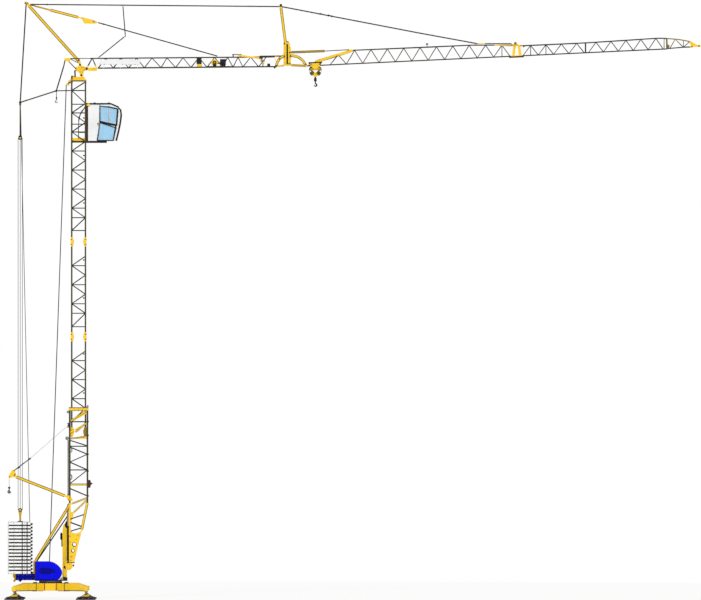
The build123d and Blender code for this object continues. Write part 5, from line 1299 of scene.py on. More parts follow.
def turn_guides():
    """Grooved rims over the guide pulleys behind the outer mast."""
    rims = bmesh.new()
    rear = MAST_X - OUTER_HALF
    for x, z, radius in ((rear - 0.060, 6.690, 0.048), (rear - 0.095, 5.750, 0.062)):
        inner, outer = radius - 0.004, radius + 0.004
        profile = [(inner, -0.016), (outer, -0.0185), (outer, -0.012), (radius + 0.001, 0), (outer, 0.012),
                   (outer, 0.0185), (inner, 0.016), (inner, -0.016)]
        add_turned(rims, profile, (x, 0, z), ACROSS, 32)
    piece("guide_rims", closed(rims), "platform", "steel")


CAB_HALF = 0.300
UPPER_BAND = [(1.765, 17.045), (2.372, 16.925), (2.412, 17.480), (2.390, 17.512), (2.090, 17.580),
              (1.765, 17.612)]
CORNICE = [(1.765, 17.610), (2.090, 17.576), (2.400, 17.510), (2.440, 17.540), (2.405, 17.590),
           (2.150, 17.668), (1.765, 17.668)]
SASH_BARS = (((1.745, 17.058), (2.368, 16.922), 0.072), ((2.398, 17.500), (2.360, 16.930), 0.048),
             ((2.338, 16.917), (2.243, 16.390), 0.046))
LOWER_BAND = [(1.672, 16.385), (2.240, 16.385), (2.345, 16.835), (1.765, 17.020)]
FRONT_EDGE = [(2.350, 16.375), (2.430, 16.700), (2.490, 16.990), (2.530, 17.280), (2.505, 17.478),
              (2.420, 17.556)]


class CabOperator(bpy.types.Operator):
    """Window frames, trim, roof fittings and door of the cab"""
    bl_idname = "crane.cab"
    bl_label = "Cab"

    def execute(self, context):
        frame_windows()
        divide_windows()
        trim_front()
        dress_roof()
        dress_rear()
        return {"FINISHED"}


def frame_windows():
    """Black bands, posts and sash bars round the side windows, with the handle of each."""
    bands = bmesh.new()
    for side in BOTH:
        for band in (UPPER_BAND, LOWER_BAND):
            path = at_side(side * (CAB_HALF + 0.004), *band, band[0])
            add_swept(bands, path, [0.023] * len(path), 8)
        near, far = layer(side, CAB_HALF - 0.004, CAB_HALF + 0.012)
        add_box(bands, (1.757, near, 17.050), (1.785, far, 17.655))
        for start, end, depth in SASH_BARS:
            add_bar(bands, *at_side(side * (CAB_HALF + 0.003), start, end), 0.016, depth)
        add_disc(bands, (1.70, side * CAB_HALF, 16.99), (0, side, 0), 0.026, 0.022)
        add_rod(bands, *at_side(side * (CAB_HALF + 0.016), (1.70, 16.99), (1.70, 16.90)), 0.010, 10)
    piece("window_bands", closed(bands), "inner_mast", "rubber", bevel=0.003)


def divide_windows():
    """Thin grey divider in each upper window, and the white cornice over it."""
    dividers, cornice = meshes(2)
    for side in BOTH:
        ends = at_side(side * (CAB_HALF + 0.003), (2.0875, 16.990), (2.0875, 17.625))
        add_bar(dividers, *ends, 0.012, 0.030)
        add_prism(cornice, CORNICE, *layer(side, CAB_HALF - 0.002, CAB_HALF + 0.006))
    piece("window_dividers", dividers, "inner_mast", "steel", bevel=0.002)
    piece("cab_cornice", closed(cornice), "inner_mast", "white", bevel=0.002)


def trim_front():
    """Edge trim up both sides of the curved windscreen, with bars across it."""
    bm = bmesh.new()
    for side in BOTH:
        y = side * (CAB_HALF - 0.018)
        add_swept(bm, [(x - 0.008, y, z) for x, z in FRONT_EDGE], [0.031] * len(FRONT_EDGE), 10)
    for x, z in (FRONT_EDGE[1], FRONT_EDGE[-1]):
        add_rod(bm, (x - 0.006, -CAB_HALF + 0.02, z), (x - 0.006, CAB_HALF - 0.02, z), 0.014, 12)
    piece("windscreen_trim", closed(bm), "inner_mast", "rubber")


def dress_roof():
    """Gutter, ribs and the yellow knob at the roof's rear."""
    trim, knob, ribs = meshes(3)
    for side in BOTH:
        y = side * (CAB_HALF - 0.004)
        path = [(1.275, y, 17.692), (2.160, y, 17.692), (2.430, y, 17.572)]
        add_swept(trim, path, [0.030] * 3, 10)
    for x in (1.42, 1.62, 1.82, 2.02):
        add_box(ribs, (x - 0.02, -0.26, 17.714), (x + 0.02, 0.26, 17.726))
    add_turned(knob, [(0, 0), (0.050, 0), (0.056, 0.018), (0.050, 0.040), (0.028, 0.052), (0, 0.054)],
               (1.362, -CAB_HALF + 0.012, 17.655), (0, -1, 0), 24)
    piece("roof_gutter", closed(trim), "inner_mast", "rubber")
    piece("roof_ribs", ribs, "inner_mast", "roof", bevel=0.004)
    piece("roof_knob", closed(knob), "inner_mast", "yellow")


def dress_rear():
    """Hinges and handle of the rear door, and the seal of the rear window."""
    bm = bmesh.new()
    for z in (16.50, 16.82):
        add_rod(bm, (1.342, -0.205, z - 0.03), (1.342, -0.205, z + 0.03), 0.012, 12)
    path = [(1.349, 0.15, 16.60), (1.330, 0.15, 16.61), (1.330, 0.15, 16.72), (1.349, 0.15, 16.73)]
    add_swept(bm, path, [0.008] * 4, 8)
    low, high = 16.99, 17.56
    for side in BOTH:
        add_bar(bm, (1.343, side * 0.197, low - 0.01), (1.343, side * 0.197, high + 0.01), 0.018, 0.010)
    for z in (low - 0.005, high + 0.005):
        add_rod(bm, (1.343, -0.2, z), (1.343, 0.2, z), 0.008, 8)
    piece("cab_rear_trim", closed(bm), "inner_mast", "rubber")


class HeadOperator(bpy.types.Operator):
    """Bands, pins and pulleys of the mast head, the strut and the rear stay"""
    bl_idname = "crane.head"
    bl_label = "Head"

    def execute(self, context):
        bolt = context.scene.crane_sizes.bolt
        band_head(bolt)
        pin_head(bolt)
        dress_strut()
        sheave_stay()
        dress_link()
        return {"FINISHED"}


HEAD_BRACKET = [(0.727, 18.545), (0.850, 18.545), (0.862, 18.64), (0.80, 18.70), (0.735, 18.70)]


def band_head(bolt):
    """Black band and corner blocks under the head frame, with the lever and brown brackets behind."""
    band, lever, brackets, bolts = meshes(4)
    reach = MAST_HALF + MAST_CHORD / 2
    for side in BOTH:
        out, y = (0, side, 0), side * 0.115
        near, far = layer(side, reach - 0.002, reach + 0.008)
        add_box(band, (MAST_X - reach, near, 18.495), (MAST_X + reach, far, 18.530))
        for end in BOTH:
            low, high = layer(end, reach - 0.06, reach + 0.008)
            add_box(band, (MAST_X + low, near, 18.44), (MAST_X + high, far, 18.50))
            add_bolt(bolts, (MAST_X + end * 0.23, side * (reach + 0.008), 18.47), out, bolt)
        add_prism(brackets, HEAD_BRACKET, *layer(side, 0.10, 0.13))
        add_bar(lever, (0.640, y, 18.480), (0.875, y, 18.670), 0.026, 0.062)
        add_bar(brackets, (0.864, y, 18.885), (0.878, y, 18.680), 0.024, 0.050)
        add_bar(brackets, (0.855, y, 18.865), (0.975, y, 18.905), 0.022, 0.040)
        add_bar(band, (0.625, y, 18.447), (0.745, y, 18.447), 0.030, 0.034)
        add_disc(band, (0.872, side * 0.127, 18.668), out, 0.030, 0.012)
    piece("head_lever", lever, "inner_mast", "yellow", bevel=0.003)
    piece("head_band", band, "inner_mast", "black", bevel=0.003)
    piece("head_brackets", brackets, "inner_mast", "brown", bevel=0.003)
    piece("head_bolts", bolts, "inner_mast", "steel")


def pin_head(bolt):
    """Pin heads on the star plates and the jib's pivot."""
    pins, bolts = meshes(2)
    for side in BOTH:
        out = (0, side, 0)
        add_disc(pins, (1.300, side * 0.235, 18.950), out, 0.034, 0.012)
        add_disc(pins, (1.100, side * 0.138, 18.715), out, 0.036, 0.014)
        add_disc(pins, (1.050, side * 0.138, 19.095), out, 0.036, 0.014)
        add_disc(pins, (0.900, side * 0.138, 18.960), out, 0.026, 0.012)
        for x, z in ((1.06, 18.83), (1.13, 18.83), (1.20, 18.90), (1.12, 18.99)):
            add_bolt(bolts, (x, side * 0.138, z), out, bolt * 0.8)
    piece("head_pins", closed(pins), "inner_mast", "black")
    piece("star_bolts", bolts, "inner_mast", "steel")


STRUT_FOOT = Vector((1.010, 0, 19.215))
STRUT_TIP = Vector((-0.785, 0, 21.210))
STRUT_CAP = [(-0.955, 21.298), (-0.868, 21.337), (-0.785, 21.298), (-0.868, 21.232)]


def dress_strut():
    """Dark end fittings, strips of painted shade along the edges, and yellow pins of the strut."""
    ends, pins, edges = meshes(3)
    run = (STRUT_TIP - STRUT_FOOT).normalized()
    for side in BOTH:
        out, shift = (0, side, 0), Vector((0, side * 0.100, 0))
        foot, tip = STRUT_FOOT + shift, STRUT_TIP + shift
        add_bar(ends, foot + run * 0.01, foot + run * 0.05, 0.066, 0.098)
        add_prism(ends, STRUT_CAP, *layer(side, 0.108, 0.116))
        add_disc(pins, (-0.868, side * 0.115, 21.295), out, 0.024, 0.008)
        add_disc(pins, (-0.785, side * 0.128, 21.210), out, 0.026, 0.010)
        add_edges(edges, foot + run * 0.05, tip - run * 0.02, 0.064, 0.090)
    piece("strut_ends", closed(ends), "inner_mast", "black", bevel=0.003)
    piece("strut_pins", closed(pins), "inner_mast", "yellow")
    piece("strut_edge_shade", edges, "inner_mast", "edge", bevel=0.002)


STAY_LOW = 3.192
STAY_HIGH = 16.475
STAY_SHEAVE = 0.066
STAY_SHEAVE_Y = 0.016


def sheave_stay():
    """Grooved rims and caps on the sheaves of the rear stay's two blocks, and the lower block's stem."""
    rim = [(0.060, -0.009), (0.0665, -0.010), (0.0665, -0.006), (0.0658, 0), (0.0665, 0.006), (0.0665, 0.010),
           (0.060, 0.009), (0.060, -0.009)]
    for level, body, z in (("low", "platform", STAY_LOW), ("high", "inner_mast", STAY_HIGH)):
        rims, caps = meshes(2)
        for side in BOTH:
            add_turned(rims, rim, (STAY_X, side * STAY_SHEAVE_Y, z), ACROSS, 32)
            add_disc(caps, (STAY_X, side * 0.041, z), (0, side, 0), 0.028, 0.012)
        piece("stay_rims_" + level, closed(rims), body, "black")
        piece("stay_caps_" + level, closed(caps), body, "yellow")
    stem = bmesh.new()
    add_box(stem, (STAY_X - 0.034, -0.022, 2.825), (STAY_X + 0.034, 0.022, 3.115))
    piece("stay_stem", stem, "platform", "olive", bevel=0.004)


LINK_PIN = (0.205, 18.160)


def dress_link():
    """Knuckles and sleeves on the bars behind the mast."""
    link = bmesh.new()
    for side in BOTH:
        out = (0, side, 0)
        add_disc(link, (STAY_X, side * 0.044, 17.745), out, 0.034, 0.012)
        add_disc(link, (LINK_PIN[0], side * 0.059, LINK_PIN[1]), out, 0.030, 0.010)
        add_rod(link, *at_side(side * 0.045, LINK_PIN, (0.743, 18.170)), 0.018, 12)
    add_turned(link, [(0.012, 0), (0.024, 0.01), (0.024, 0.07), (0.012, 0.08)], (0.212, 0, 17.86), UP, 16)
    add_rod(link, (-1.0814, 0, 17.805), (-0.878, 0, 21.180), 0.023, 12)
    add_rod(link, (0.222, 0, 18.216), (0.463, 0, 19.022), 0.023, 12)
    piece("link_knuckles", closed(link), "inner_mast", "black")


def inner_top(x):
    """Height of the inner jib's top chord."""
    return 19.315 + 0.0085 * (x - 1.345)


def rail_height(x):
    """Height of the outer jib's bottom chords."""
    return 19.048 + JIB_SLOPE * (x - 9.150)


class JibOperator(bpy.types.Operator):
    """Winch, board, king post, elbow, joints and tip fittings of the jib"""
    bl_idname = "crane.jib"
    bl_label = "Jib"

    def execute(self, context):
        bolt = context.scene.crane_sizes.bolt
        wind_drum()
        box_winch()
        frame_board()
        pin_ties()
        bead_ties()
        sleeve_ties()
        wrap_ties()
        dress_king_post(bolt)
        edge_king_post()
        arch_elbow()
        bar_elbow()
        pin_elbow()
        dress_fold()
        bolt_sections(bolt)
        dress_tip()
        guard_lamp()
        return {"FINISHED"}


DRUM_X = 5.855
DRUM_FLOOR = inner_top(DRUM_X) - 0.350 + JIB_CHORD / 2
DRUM_HALF = 0.099
DRUM_TURNS = 14


def wind_drum():
    """Rope laid on the trolley winch's drum, with its yellow flange rings."""
    coil, rings = meshes(2)
    place = (DRUM_X, 0, DRUM_FLOOR + 0.142)
    step = 2 * DRUM_HALF / DRUM_TURNS
    laid = [(0.085, -DRUM_HALF)]
    for i in range(DRUM_TURNS):
        y = -DRUM_HALF + i * step
        laid += [(0.093, y + step * 0.1), (0.0985, y + step * 0.5), (0.093, y + step * 0.9)]
    laid += [(0.085, DRUM_HALF), (0.085, -DRUM_HALF)]
    add_turned(coil, laid, place, ACROSS, 32)
    flange = [(0.070, 0.111), (0.119, 0.111), (0.119, 0.116), (0.104, 0.116), (0.104, 0.119), (0.070, 0.119),
              (0.070, 0.111)]
    for side in BOTH:
        add_turned(rings, flange, place, (0, side, 0), 36)
        add_disc(rings, (DRUM_X, side * 0.123, place[2]), (0, side, 0), 0.022, 0.008)
    piece("drum_coil", closed(coil), "inner_mast", "rope")
    piece("drum_rings", closed(rings), "inner_mast", "yellow")


def box_winch():
    """Ribs of the winch's motor, and the black boxes before and behind the winch."""
    ribs, boxes = meshes(2)
    for i in range(6):
        add_turned(ribs, tube(0.064, 0.072, 0.010), (6.06 + i * 0.032, 0, DRUM_FLOOR + 0.120), ALONG, 24)
    add_box(boxes, (5.213, -0.060, 19.112), (5.394, 0.060, 19.325))
    add_box(boxes, (6.052, -0.070, 19.182), (6.268, 0.070, 19.292))
    piece("motor_ribs", closed(ribs), "inner_mast", "black")
    piece("jib_boxes", boxes, "inner_mast", "black", bevel=0.006)


BOARD = [(1.735, 19.095), (1.790, 19.270), (3.220, 19.270), (3.180, 19.090)]


def frame_board():
    """Thin dark rim round the bare board, with the clamps that hold it."""
    edge, clamps = meshes(2)
    face = -JIB_HALF - JIB_CHORD / 2 - 0.012
    add_frame(edge, BOARD, 0.006, face - 0.013, face - 0.009)
    for x in (1.92, 2.14, 2.36, 2.58, 2.80, 3.02):
        add_box(clamps, (x - 0.016, face - 0.014, 19.088), (x + 0.016, face - 0.008, 19.108))
    piece("board_edge", closed(edge), "inner_mast", "rubber")
    piece("board_clamps", clamps, "inner_mast", "black", bevel=0.002)


TOP_TIE = ((-0.800, 21.248), (8.225, 21.168))
OUTER_TIE = ((8.245, 21.168), (13.105, 20.235), (15.235, 19.845))
LOWER_TIE = ((1.640, 20.612), (5.955, 19.400))
CROSS_TIES = (((2.585, 21.165), (2.6665, 20.163)), ((2.632, 20.089), (1.740, 19.370)))
TIE_HALF = 0.070
LOWER_TIE_HALF = 0.035


def on_line(a, b, x):
    """Height at X of the straight line through two spots."""
    return a[1] + (b[1] - a[1]) * (x - a[0]) / (b[0] - a[0])


def on_tie(line, x, y):
    """The place on a tie at X, in the plane at Y."""
    return (x, y, on_line(*line, x))


def pin_ties():
    """Pins through the node plates of the ties, and the bracket of the lower tie."""
    pins = bmesh.new()
    places = [(x, on_line(*TOP_TIE, x), 0.083) for x in (0.980, 2.580, 7.155)]
    places += [(x, on_line(*OUTER_TIE[:2], x), 0.081) for x in (9.640, 9.950, 10.920)]
    places += [(*OUTER_TIE[1], 0.081), (15.225, 19.847, 0.081)]
    for side in BOTH:
        out = (0, side, 0)
        for x, z, reach in places:
            for pin_x in (x - 0.025, x + 0.025):
                add_disc(pins, (pin_x, side * reach, z), out, 0.017, 0.008, 0.2, 16)
        add_disc(pins, (1.546, side * 0.061, 20.640), out, 0.034, 0.012)
        add_disc(pins, (1.150, side * 0.049, 20.745), out, 0.020, 0.010)
    piece("tie_pins", closed(pins), "inner_mast", "steel")


def bead_ties():
    """Turned couplings on the top tie and on the lower tie."""
    beads = bmesh.new()
    knob = [(0.016, -0.03), (0.026, -0.022), (0.030, 0), (0.026, 0.022), (0.016, 0.03)]
    for line, half, x in ((TOP_TIE, TIE_HALF, -0.118), (LOWER_TIE, LOWER_TIE_HALF, 1.889)):
        (xa, za), (xb, zb) = line
        for side in BOTH:
            add_turned(beads, knob, on_tie(line, x, side * half), (xb - xa, 0, zb - za), 16)
    piece("tie_beads", closed(beads), "inner_mast", "chord")


def sleeve_ties():
    """Black sleeves over the thin ties, and the round knobs where the outer tie is hung."""
    sleeves = bmesh.new()
    for side in BOTH:
        for line, half, first, last in ((TOP_TIE, TIE_HALF, -0.720, 8.150),
                                        (LOWER_TIE, LOWER_TIE_HALF, 1.700, 5.900)):
            ends = [on_tie(line, x, side * half) for x in (first, last)]
            add_rod(sleeves, *ends, 0.020, 12)
        for ends in zip(OUTER_TIE, OUTER_TIE[1:]):
            add_rod(sleeves, *at_side(side * TIE_HALF, *ends), 0.021, 12)
    for ends in CROSS_TIES:
        add_rod(sleeves, *at_side(0, *ends), 0.018, 12)
    knob = [(0, -0.09), (0.030, -0.09), (0.036, 0), (0.030, 0.09), (0, 0.09)]
    for place in at_side(0, (9.640, 20.908), (9.930, 20.852), (10.040, 20.822)):
        add_turned(sleeves, knob, place, ACROSS, 20)
    piece("tie_sleeves", sleeves, "inner_mast", "black")


def wrap_ties():
    """Olive wraps, and dark strips of painted shade along the edges of the two bars that run down from the
    strut's tip.
    """
    wraps, edges = meshes(2)
    for y in (-LOWER_TIE_HALF, LOWER_TIE_HALF):
        add_bar(wraps, (-0.600, y, 21.1967), (-0.030, y, 21.0489), 0.038, 0.058)
        add_edges(edges, (-0.010, y, 21.0437), (0.990, y, 20.7843), 0.038, 0.088, 0.022, 0.004)
    piece("tie_wraps", wraps, "inner_mast", "olive", bevel=0.003)
    piece("tie_edge_shade", edges, "inner_mast", "edge", bevel=0.002)


KING_FOOT = [(8.318, 19.060), (8.318, 19.860), (8.350, 19.895), (8.530, 19.895), (8.585, 19.640),
             (8.585, 19.060)]
KING_EDGE = ((8.388, 0.150, 19.880), (8.228, 0.070, 21.130))


KING_BARS = ((8.600, 19.5366), (9.790, 19.5796))
KING_BOLTS = [(x, z) for z in (19.15, 19.33, 19.51, 19.69) for x in (8.375, 8.530)]


def dress_king_post(bolt):
    """Black sheet behind the slot as painted shade of the slot, caps and pads on the post, and bolts up its
    foot.
    """
    dark, bolts = meshes(2)
    for side in BOTH:
        out, face = (0, side, 0), side * 0.164
        # A thin black sheet inside the post behind its slot: painted shade.
        near, far = layer(side, 0.005, 0.010)
        add_box(dark, (8.412, near, 19.12), (8.492, far, 19.84))
        near, far = layer(side, 0.138, 0.162)
        add_box(dark, (8.330, near, 19.870), (8.500, far, 19.925))
        near, far = layer(side, 0.164, 0.188)
        add_box(dark, (8.445, near, 19.062), (8.585, far, 19.130))
        add_disc(dark, (8.224, side * 0.098, 21.215), out, 0.048, 0.014)
        add_disc(dark, (8.350, face, 19.840), out, 0.026, 0.012)
        add_disc(dark, (8.545, face, 19.535), out, 0.026, 0.012)
        for place in at_side(face, *KING_BOLTS):
            add_bolt(bolts, place, out, bolt * 0.9)
    piece("king_post_fittings_and_slot_shade", closed(dark), "inner_mast", "black", bevel=0.002)
    piece("king_post_bolts", bolts, "inner_mast", "steel")


def edge_king_post():
    """Olive bars before the post, and dark strips of painted shade along the edges of them, the post and the
    heavy bar over the trolley.
    """
    bars, edges = meshes(2)
    for side in BOTH:
        ends = at_side(side * 0.060, *KING_BARS)
        add_bar(bars, *ends, 0.030, 0.066)
        add_edges(edges, *ends, 0.034, 0.066)
        ends = [(x, side * reach, z) for x, reach, z in KING_EDGE]
        add_edges(edges, *ends, 0.056, 0.092, 0.020, 0.004)
        add_frame(edges, KING_FOOT, 0.018, *layer(side, 0.164, 0.168))
    add_edges(edges, (9.500, 0, 19.2065), (10.700, 0, 19.5750), 0.060, 0.092)
    piece("king_post_bars", bars, "inner_mast", "olive", bevel=0.003)
    piece("heavy_bar_edge_shade", edges, "inner_mast", "edge", bevel=0.002)


ARCHES = (((8.060, 19.030), (8.085, 19.150), (8.175, 19.314), (8.345, 19.420)),
          ((8.560, 19.420), (8.810, 19.385), (8.985, 19.270), (9.125, 19.070)))


ARCH_PINS = ((8.068, 19.060), (8.345, 19.400), (8.565, 19.405), (9.105, 19.100), (8.180, 19.300))


def arch_elbow():
    """Arched bars of the elbow with dark strips of painted shade along their edges."""
    arcs, edges = meshes(2)
    for side in BOTH:
        for arch in ARCHES:
            for ends in zip(arch, arch[1:]):
                places = at_side(side * 0.180, *ends)
                add_bar(arcs, *places, 0.042, 0.082)
                add_edges(edges, *places, 0.044, 0.082, 0.020, 0.006)
    piece("elbow_arcs", arcs, "inner_mast", "yellow", bevel=0.003)
    piece("elbow_edge_shade", edges, "inner_mast", "edge", bevel=0.002)


def bar_elbow():
    """Deep lower bars of the elbow, and the crossed struts at the inner jib's end."""
    lows, struts = meshes(2)
    for side in BOTH:
        add_bar(lows, (8.600, side * JIB_HALF, 19.078), (9.120, side * JIB_HALF, 19.050), 0.040, 0.080)
        add_bar(lows, (8.090, side * 0.18, 19.045), (8.330, side * 0.18, 19.060), 0.034, 0.050)
        add_bar(struts, (7.520, side * 0.06, 19.295), (7.600, side * 0.20, 19.02), 0.030, 0.034)
        add_bar(struts, (7.640, side * 0.06, 19.250), (7.560, side * 0.20, 19.02), 0.030, 0.034)
    piece("elbow_bars", lows, "inner_mast", "olive", bevel=0.003)
    piece("elbow_struts", struts, "inner_mast", "olive", bevel=0.003)


def pin_elbow():
    """Pins of the arched bars and the elbow, and the round bar between the jibs with its knob."""
    pins, knob = meshes(2)
    for side in BOTH:
        out = (0, side, 0)
        for place in at_side(side * 0.199, *ARCH_PINS):
            add_disc(pins, place, out, 0.026, 0.012)
        add_disc(pins, (8.000, side * 0.242, 18.995), out, 0.036, 0.012)
    add_rod(pins, (7.470, 0, 19.392), (8.320, 0, 19.402), 0.024, 12)
    add_turned(knob, [(0.014, -0.02), (0.03, -0.012), (0.034, 0), (0.03, 0.012), (0.014, 0.02)],
               (8.05, 0, 19.395), ALONG, 20)
    piece("elbow_pins", closed(pins), "inner_mast", "black")
    piece("elbow_knob", closed(knob), "inner_mast", "yellow")


def dress_fold():
    """Caps, knobs, bars and rails of the fold joint."""
    caps, knobs, bars, rails = meshes(4)
    for side in BOTH:
        out = (0, side, 0)
        add_disc(caps, (16.600, side * 0.069, 19.860), out, 0.043, 0.012)
        add_disc(caps, (16.480, side * 0.055, 19.790), out, 0.024, 0.012)
        add_disc(caps, (16.800, side * 0.034, 19.775), out, 0.022, 0.010)
        add_disc(knobs, (16.600, side * 0.080, 19.860), out, 0.018, 0.012)
        add_bar(bars, (15.850, side * 0.070, 19.790), (16.450, side * 0.070, 19.762), 0.016, 0.036)
        add_bar(rails, (16.380, side * 0.225, 19.358), (16.900, side * 0.225, 19.383), 0.044, 0.044)
    add_disc(caps, (16.900, 0.034, 19.755), (0, -1, 0), 0.036, 0.068)
    piece("fold_caps", closed(caps), "inner_mast", "black")
    piece("fold_knobs", closed(knobs), "inner_mast", "yellow")
    piece("fold_bars", bars, "inner_mast", "yellow", bevel=0.003)
    piece("fold_rails", rails, "inner_mast", "black", bevel=0.003)


def bolt_sections(bolt):
    """Bolts along the fold joint and on the end plates of the outer sections."""
    bolts = bmesh.new()
    for side in BOTH:
        for x in (16.440, 16.560, 16.720, 16.840):
            add_bolt(bolts, (x, side * 0.241, rail_height(x)), (0, side, 0), bolt * 0.7)
        for x in (19.079, 21.899):
            for reach, lift in ((0.225, 0.0), (0.150, 0.016), (0.11, 0.12), (0.045, 0.38)):
                add_bolt(bolts, (x + 0.006, side * reach, rail_height(x) + lift), (-1, 0, 0), bolt * 0.7)
    piece("section_bolts", bolts, "inner_mast", "steel")


TIP_NOSE = [(22.800, 19.928), (22.870, 19.905), (23.080, 19.780), (23.100, 19.735), (22.900, 19.742),
            (22.830, 19.850)]


def dress_tip():
    """Return pulley, black bars and caps, nose plate and post of the jib's end block."""
    rims, webs, nose, posts = meshes(4)
    for side in BOTH:
        out = (0, side, 0)
        add_disc(rims, (23.155, side * 0.059, 19.762), out, 0.026, 0.010)
        add_disc(rims, (22.900, side * 0.084, 19.740), out, 0.024, 0.010)
        add_bar(rims, (22.420, side * 0.120, 19.708), (22.890, side * 0.066, 19.722), 0.024, 0.034)
    add_sheave(rims, webs, 22.05, 0, 19.75, 0.06, 0.016)
    add_rod(rims, (22.05, -0.20, 19.75), (22.05, 0.20, 19.75), 0.010, 12)
    add_rod(rims, (22.600, 0, 19.950), (22.600, 0, 19.735), 0.012, 12)
    add_bar(rims, (22.600, -0.080, 19.735), (22.600, 0.080, 19.735), 0.150, 0.022)
    add_prism(nose, TIP_NOSE, -0.018, 0.018)
    add_bar(posts, (22.015, 0, 20.015), (22.030, 0, 19.700), 0.034, 0.038)
    piece("tip_rims", closed(rims), "inner_mast", "black")
    piece("tip_webs", closed(webs), "inner_mast", "yellow")
    piece("tip_nose", nose, "inner_mast", "yellow", bevel=0.003)
    piece("tip_posts", posts, "inner_mast", "olive", bevel=0.003)


LAMP_X = 13.445
LAMP_BASE = 19.7156 + JIB_CHORD / 2


def guard_lamp():
    """The lamp on the outer jib, and the wire guard over it."""
    lens, guard = meshes(2)
    add_turned(lens, [(0, 0.075), (0.034, 0.075), (0.036, 0.085), (0.034, 0.108), (0.022, 0.118), (0, 0.120)],
               (LAMP_X, 0, LAMP_BASE), UP, 24)
    for dx, dy in round_spots(0.039, 4):
        path = [(LAMP_X + dx * share, dy * share, LAMP_BASE + lift)
                for share, lift in ((1, 0.070), (1, 0.112), (0.4, 0.126))]
        add_swept(guard, path, [0.0035] * 3, 6)
    piece("lamp_lens", closed(lens), "inner_mast", "rubber")
    piece("lamp_guard", closed(guard), "inner_mast", "black")


TROLLEY_X = 9.455
WHEEL_SPOTS = (-0.150, 0.150)
WHEEL_RADIUS = 0.034
BLOCK_Z = 18.785
SHEAVE_Z = 18.950
SHEAVE_RADIUS = 0.080
TROLLEY_SHEAVE = 0.140
BLOCK_SHEAVE = 0.110
FALL_REACH = 0.086


class TrolleyOperator(bpy.types.Operator):
    """Wheels, sheaves, hook block and hook"""
    bl_idname = "crane.trolley"
    bl_label = "Trolley and hook"

    def execute(self, context):
        turn_trolley(context.scene.crane_sizes.bolt)
        turn_block()
        forge_hook()
        return {"FINISHED"}


def turn_trolley(bolt):
    """Flanged wheels, grooved sheaves, side beams and bolts of the trolley."""
    rims, webs, bolts, beams = meshes(4)
    side_y = JIB_HALF + JIB_CHORD / 2 + 0.050
    turn_wheels(rims)
    for dx in (-TROLLEY_SHEAVE, TROLLEY_SHEAVE):
        add_sheave(rims, webs, TROLLEY_X + dx, 0, SHEAVE_Z, SHEAVE_RADIUS, 0.035)
    for side in BOTH:
        y, out = side * side_y, (0, side, 0)
        add_disc(rims, (TROLLEY_X - 0.209, y, 19.150), out, 0.036, 0.014)
        add_disc(rims, (TROLLEY_X + 0.190, y, 19.130), out, 0.024, 0.012)
        ends = at_side(side * (side_y + 0.004), (TROLLEY_X - 0.235, 19.158), (TROLLEY_X + 0.245, 19.180))
        add_bar(beams, *ends, 0.012, 0.040)
        for dx, z in ((-0.09, 19.07), (0.09, 19.07), (0.0, 18.95)):
            add_bolt(bolts, (TROLLEY_X + dx, y, z), out, bolt * 0.8)
    piece("trolley_beams", beams, "trolley", "black", bevel=0.002)
    piece("trolley_rims", closed(rims), "trolley", "black", ("trolley_wheels",))
    piece("trolley_webs", closed(webs), "trolley", "olive")
    piece("trolley_bolts", bolts, "trolley", "steel")


def turn_wheels(rims):
    """Adds the flanged wheels that run on the jib's rails, with their hub caps."""
    inner = JIB_HALF + JIB_CHORD / 2 + 0.008
    outer = inner + 0.030
    lift = 0.005 + WHEEL_RADIUS + 0.0005
    tilt = math.atan(JIB_SLOPE)
    wheel = [(0, inner), (WHEEL_RADIUS * 0.6, inner), (WHEEL_RADIUS, inner + 0.004), (WHEEL_RADIUS, outer),
             (0, outer)]
    cap = [(0, 0), (0.022, 0), (0.022, 0.006), (0.012, 0.016), (0, 0.016)]
    for dx in WHEEL_SPOTS:
        x = TROLLEY_X + dx - lift * math.sin(tilt)
        z = rail_height(TROLLEY_X + dx) + lift * math.cos(tilt)
        for side in BOTH:
            add_turned(rims, wheel, (x, 0, z), (0, side, 0), 28)
            add_turned(rims, cap, (x, side * (outer + 0.012), z), (0, side, 0), 20)


def turn_block():
    """Grooved rims round the hook block's sheaves, and its axle caps."""
    rims, caps = meshes(2)
    groove = [(0.058, -0.030), (0.0815, -0.031), (0.0815, -0.024), (0.0802, -0.010), (0.0802, 0.010),
              (0.0815, 0.024), (0.0815, 0.031), (0.058, 0.030), (0.058, -0.030)]
    for x in (TROLLEY_X - BLOCK_SHEAVE, TROLLEY_X + BLOCK_SHEAVE):
        add_turned(rims, groove, (x, 0, BLOCK_Z), ACROSS, 36)
        for side in BOTH:
            out = (0, side, 0)
            add_turned(rims, tube(0.044, 0.062, 0.004), (x, side * 0.052, BLOCK_Z), out, 28)
            add_disc(caps, (x, side * 0.051, BLOCK_Z), out, 0.030, 0.010)
    piece("block_rims", closed(rims), "hook_block", "black")
    piece("block_caps", closed(caps), "hook_block", "black")


HOOK_TOP = 18.6597


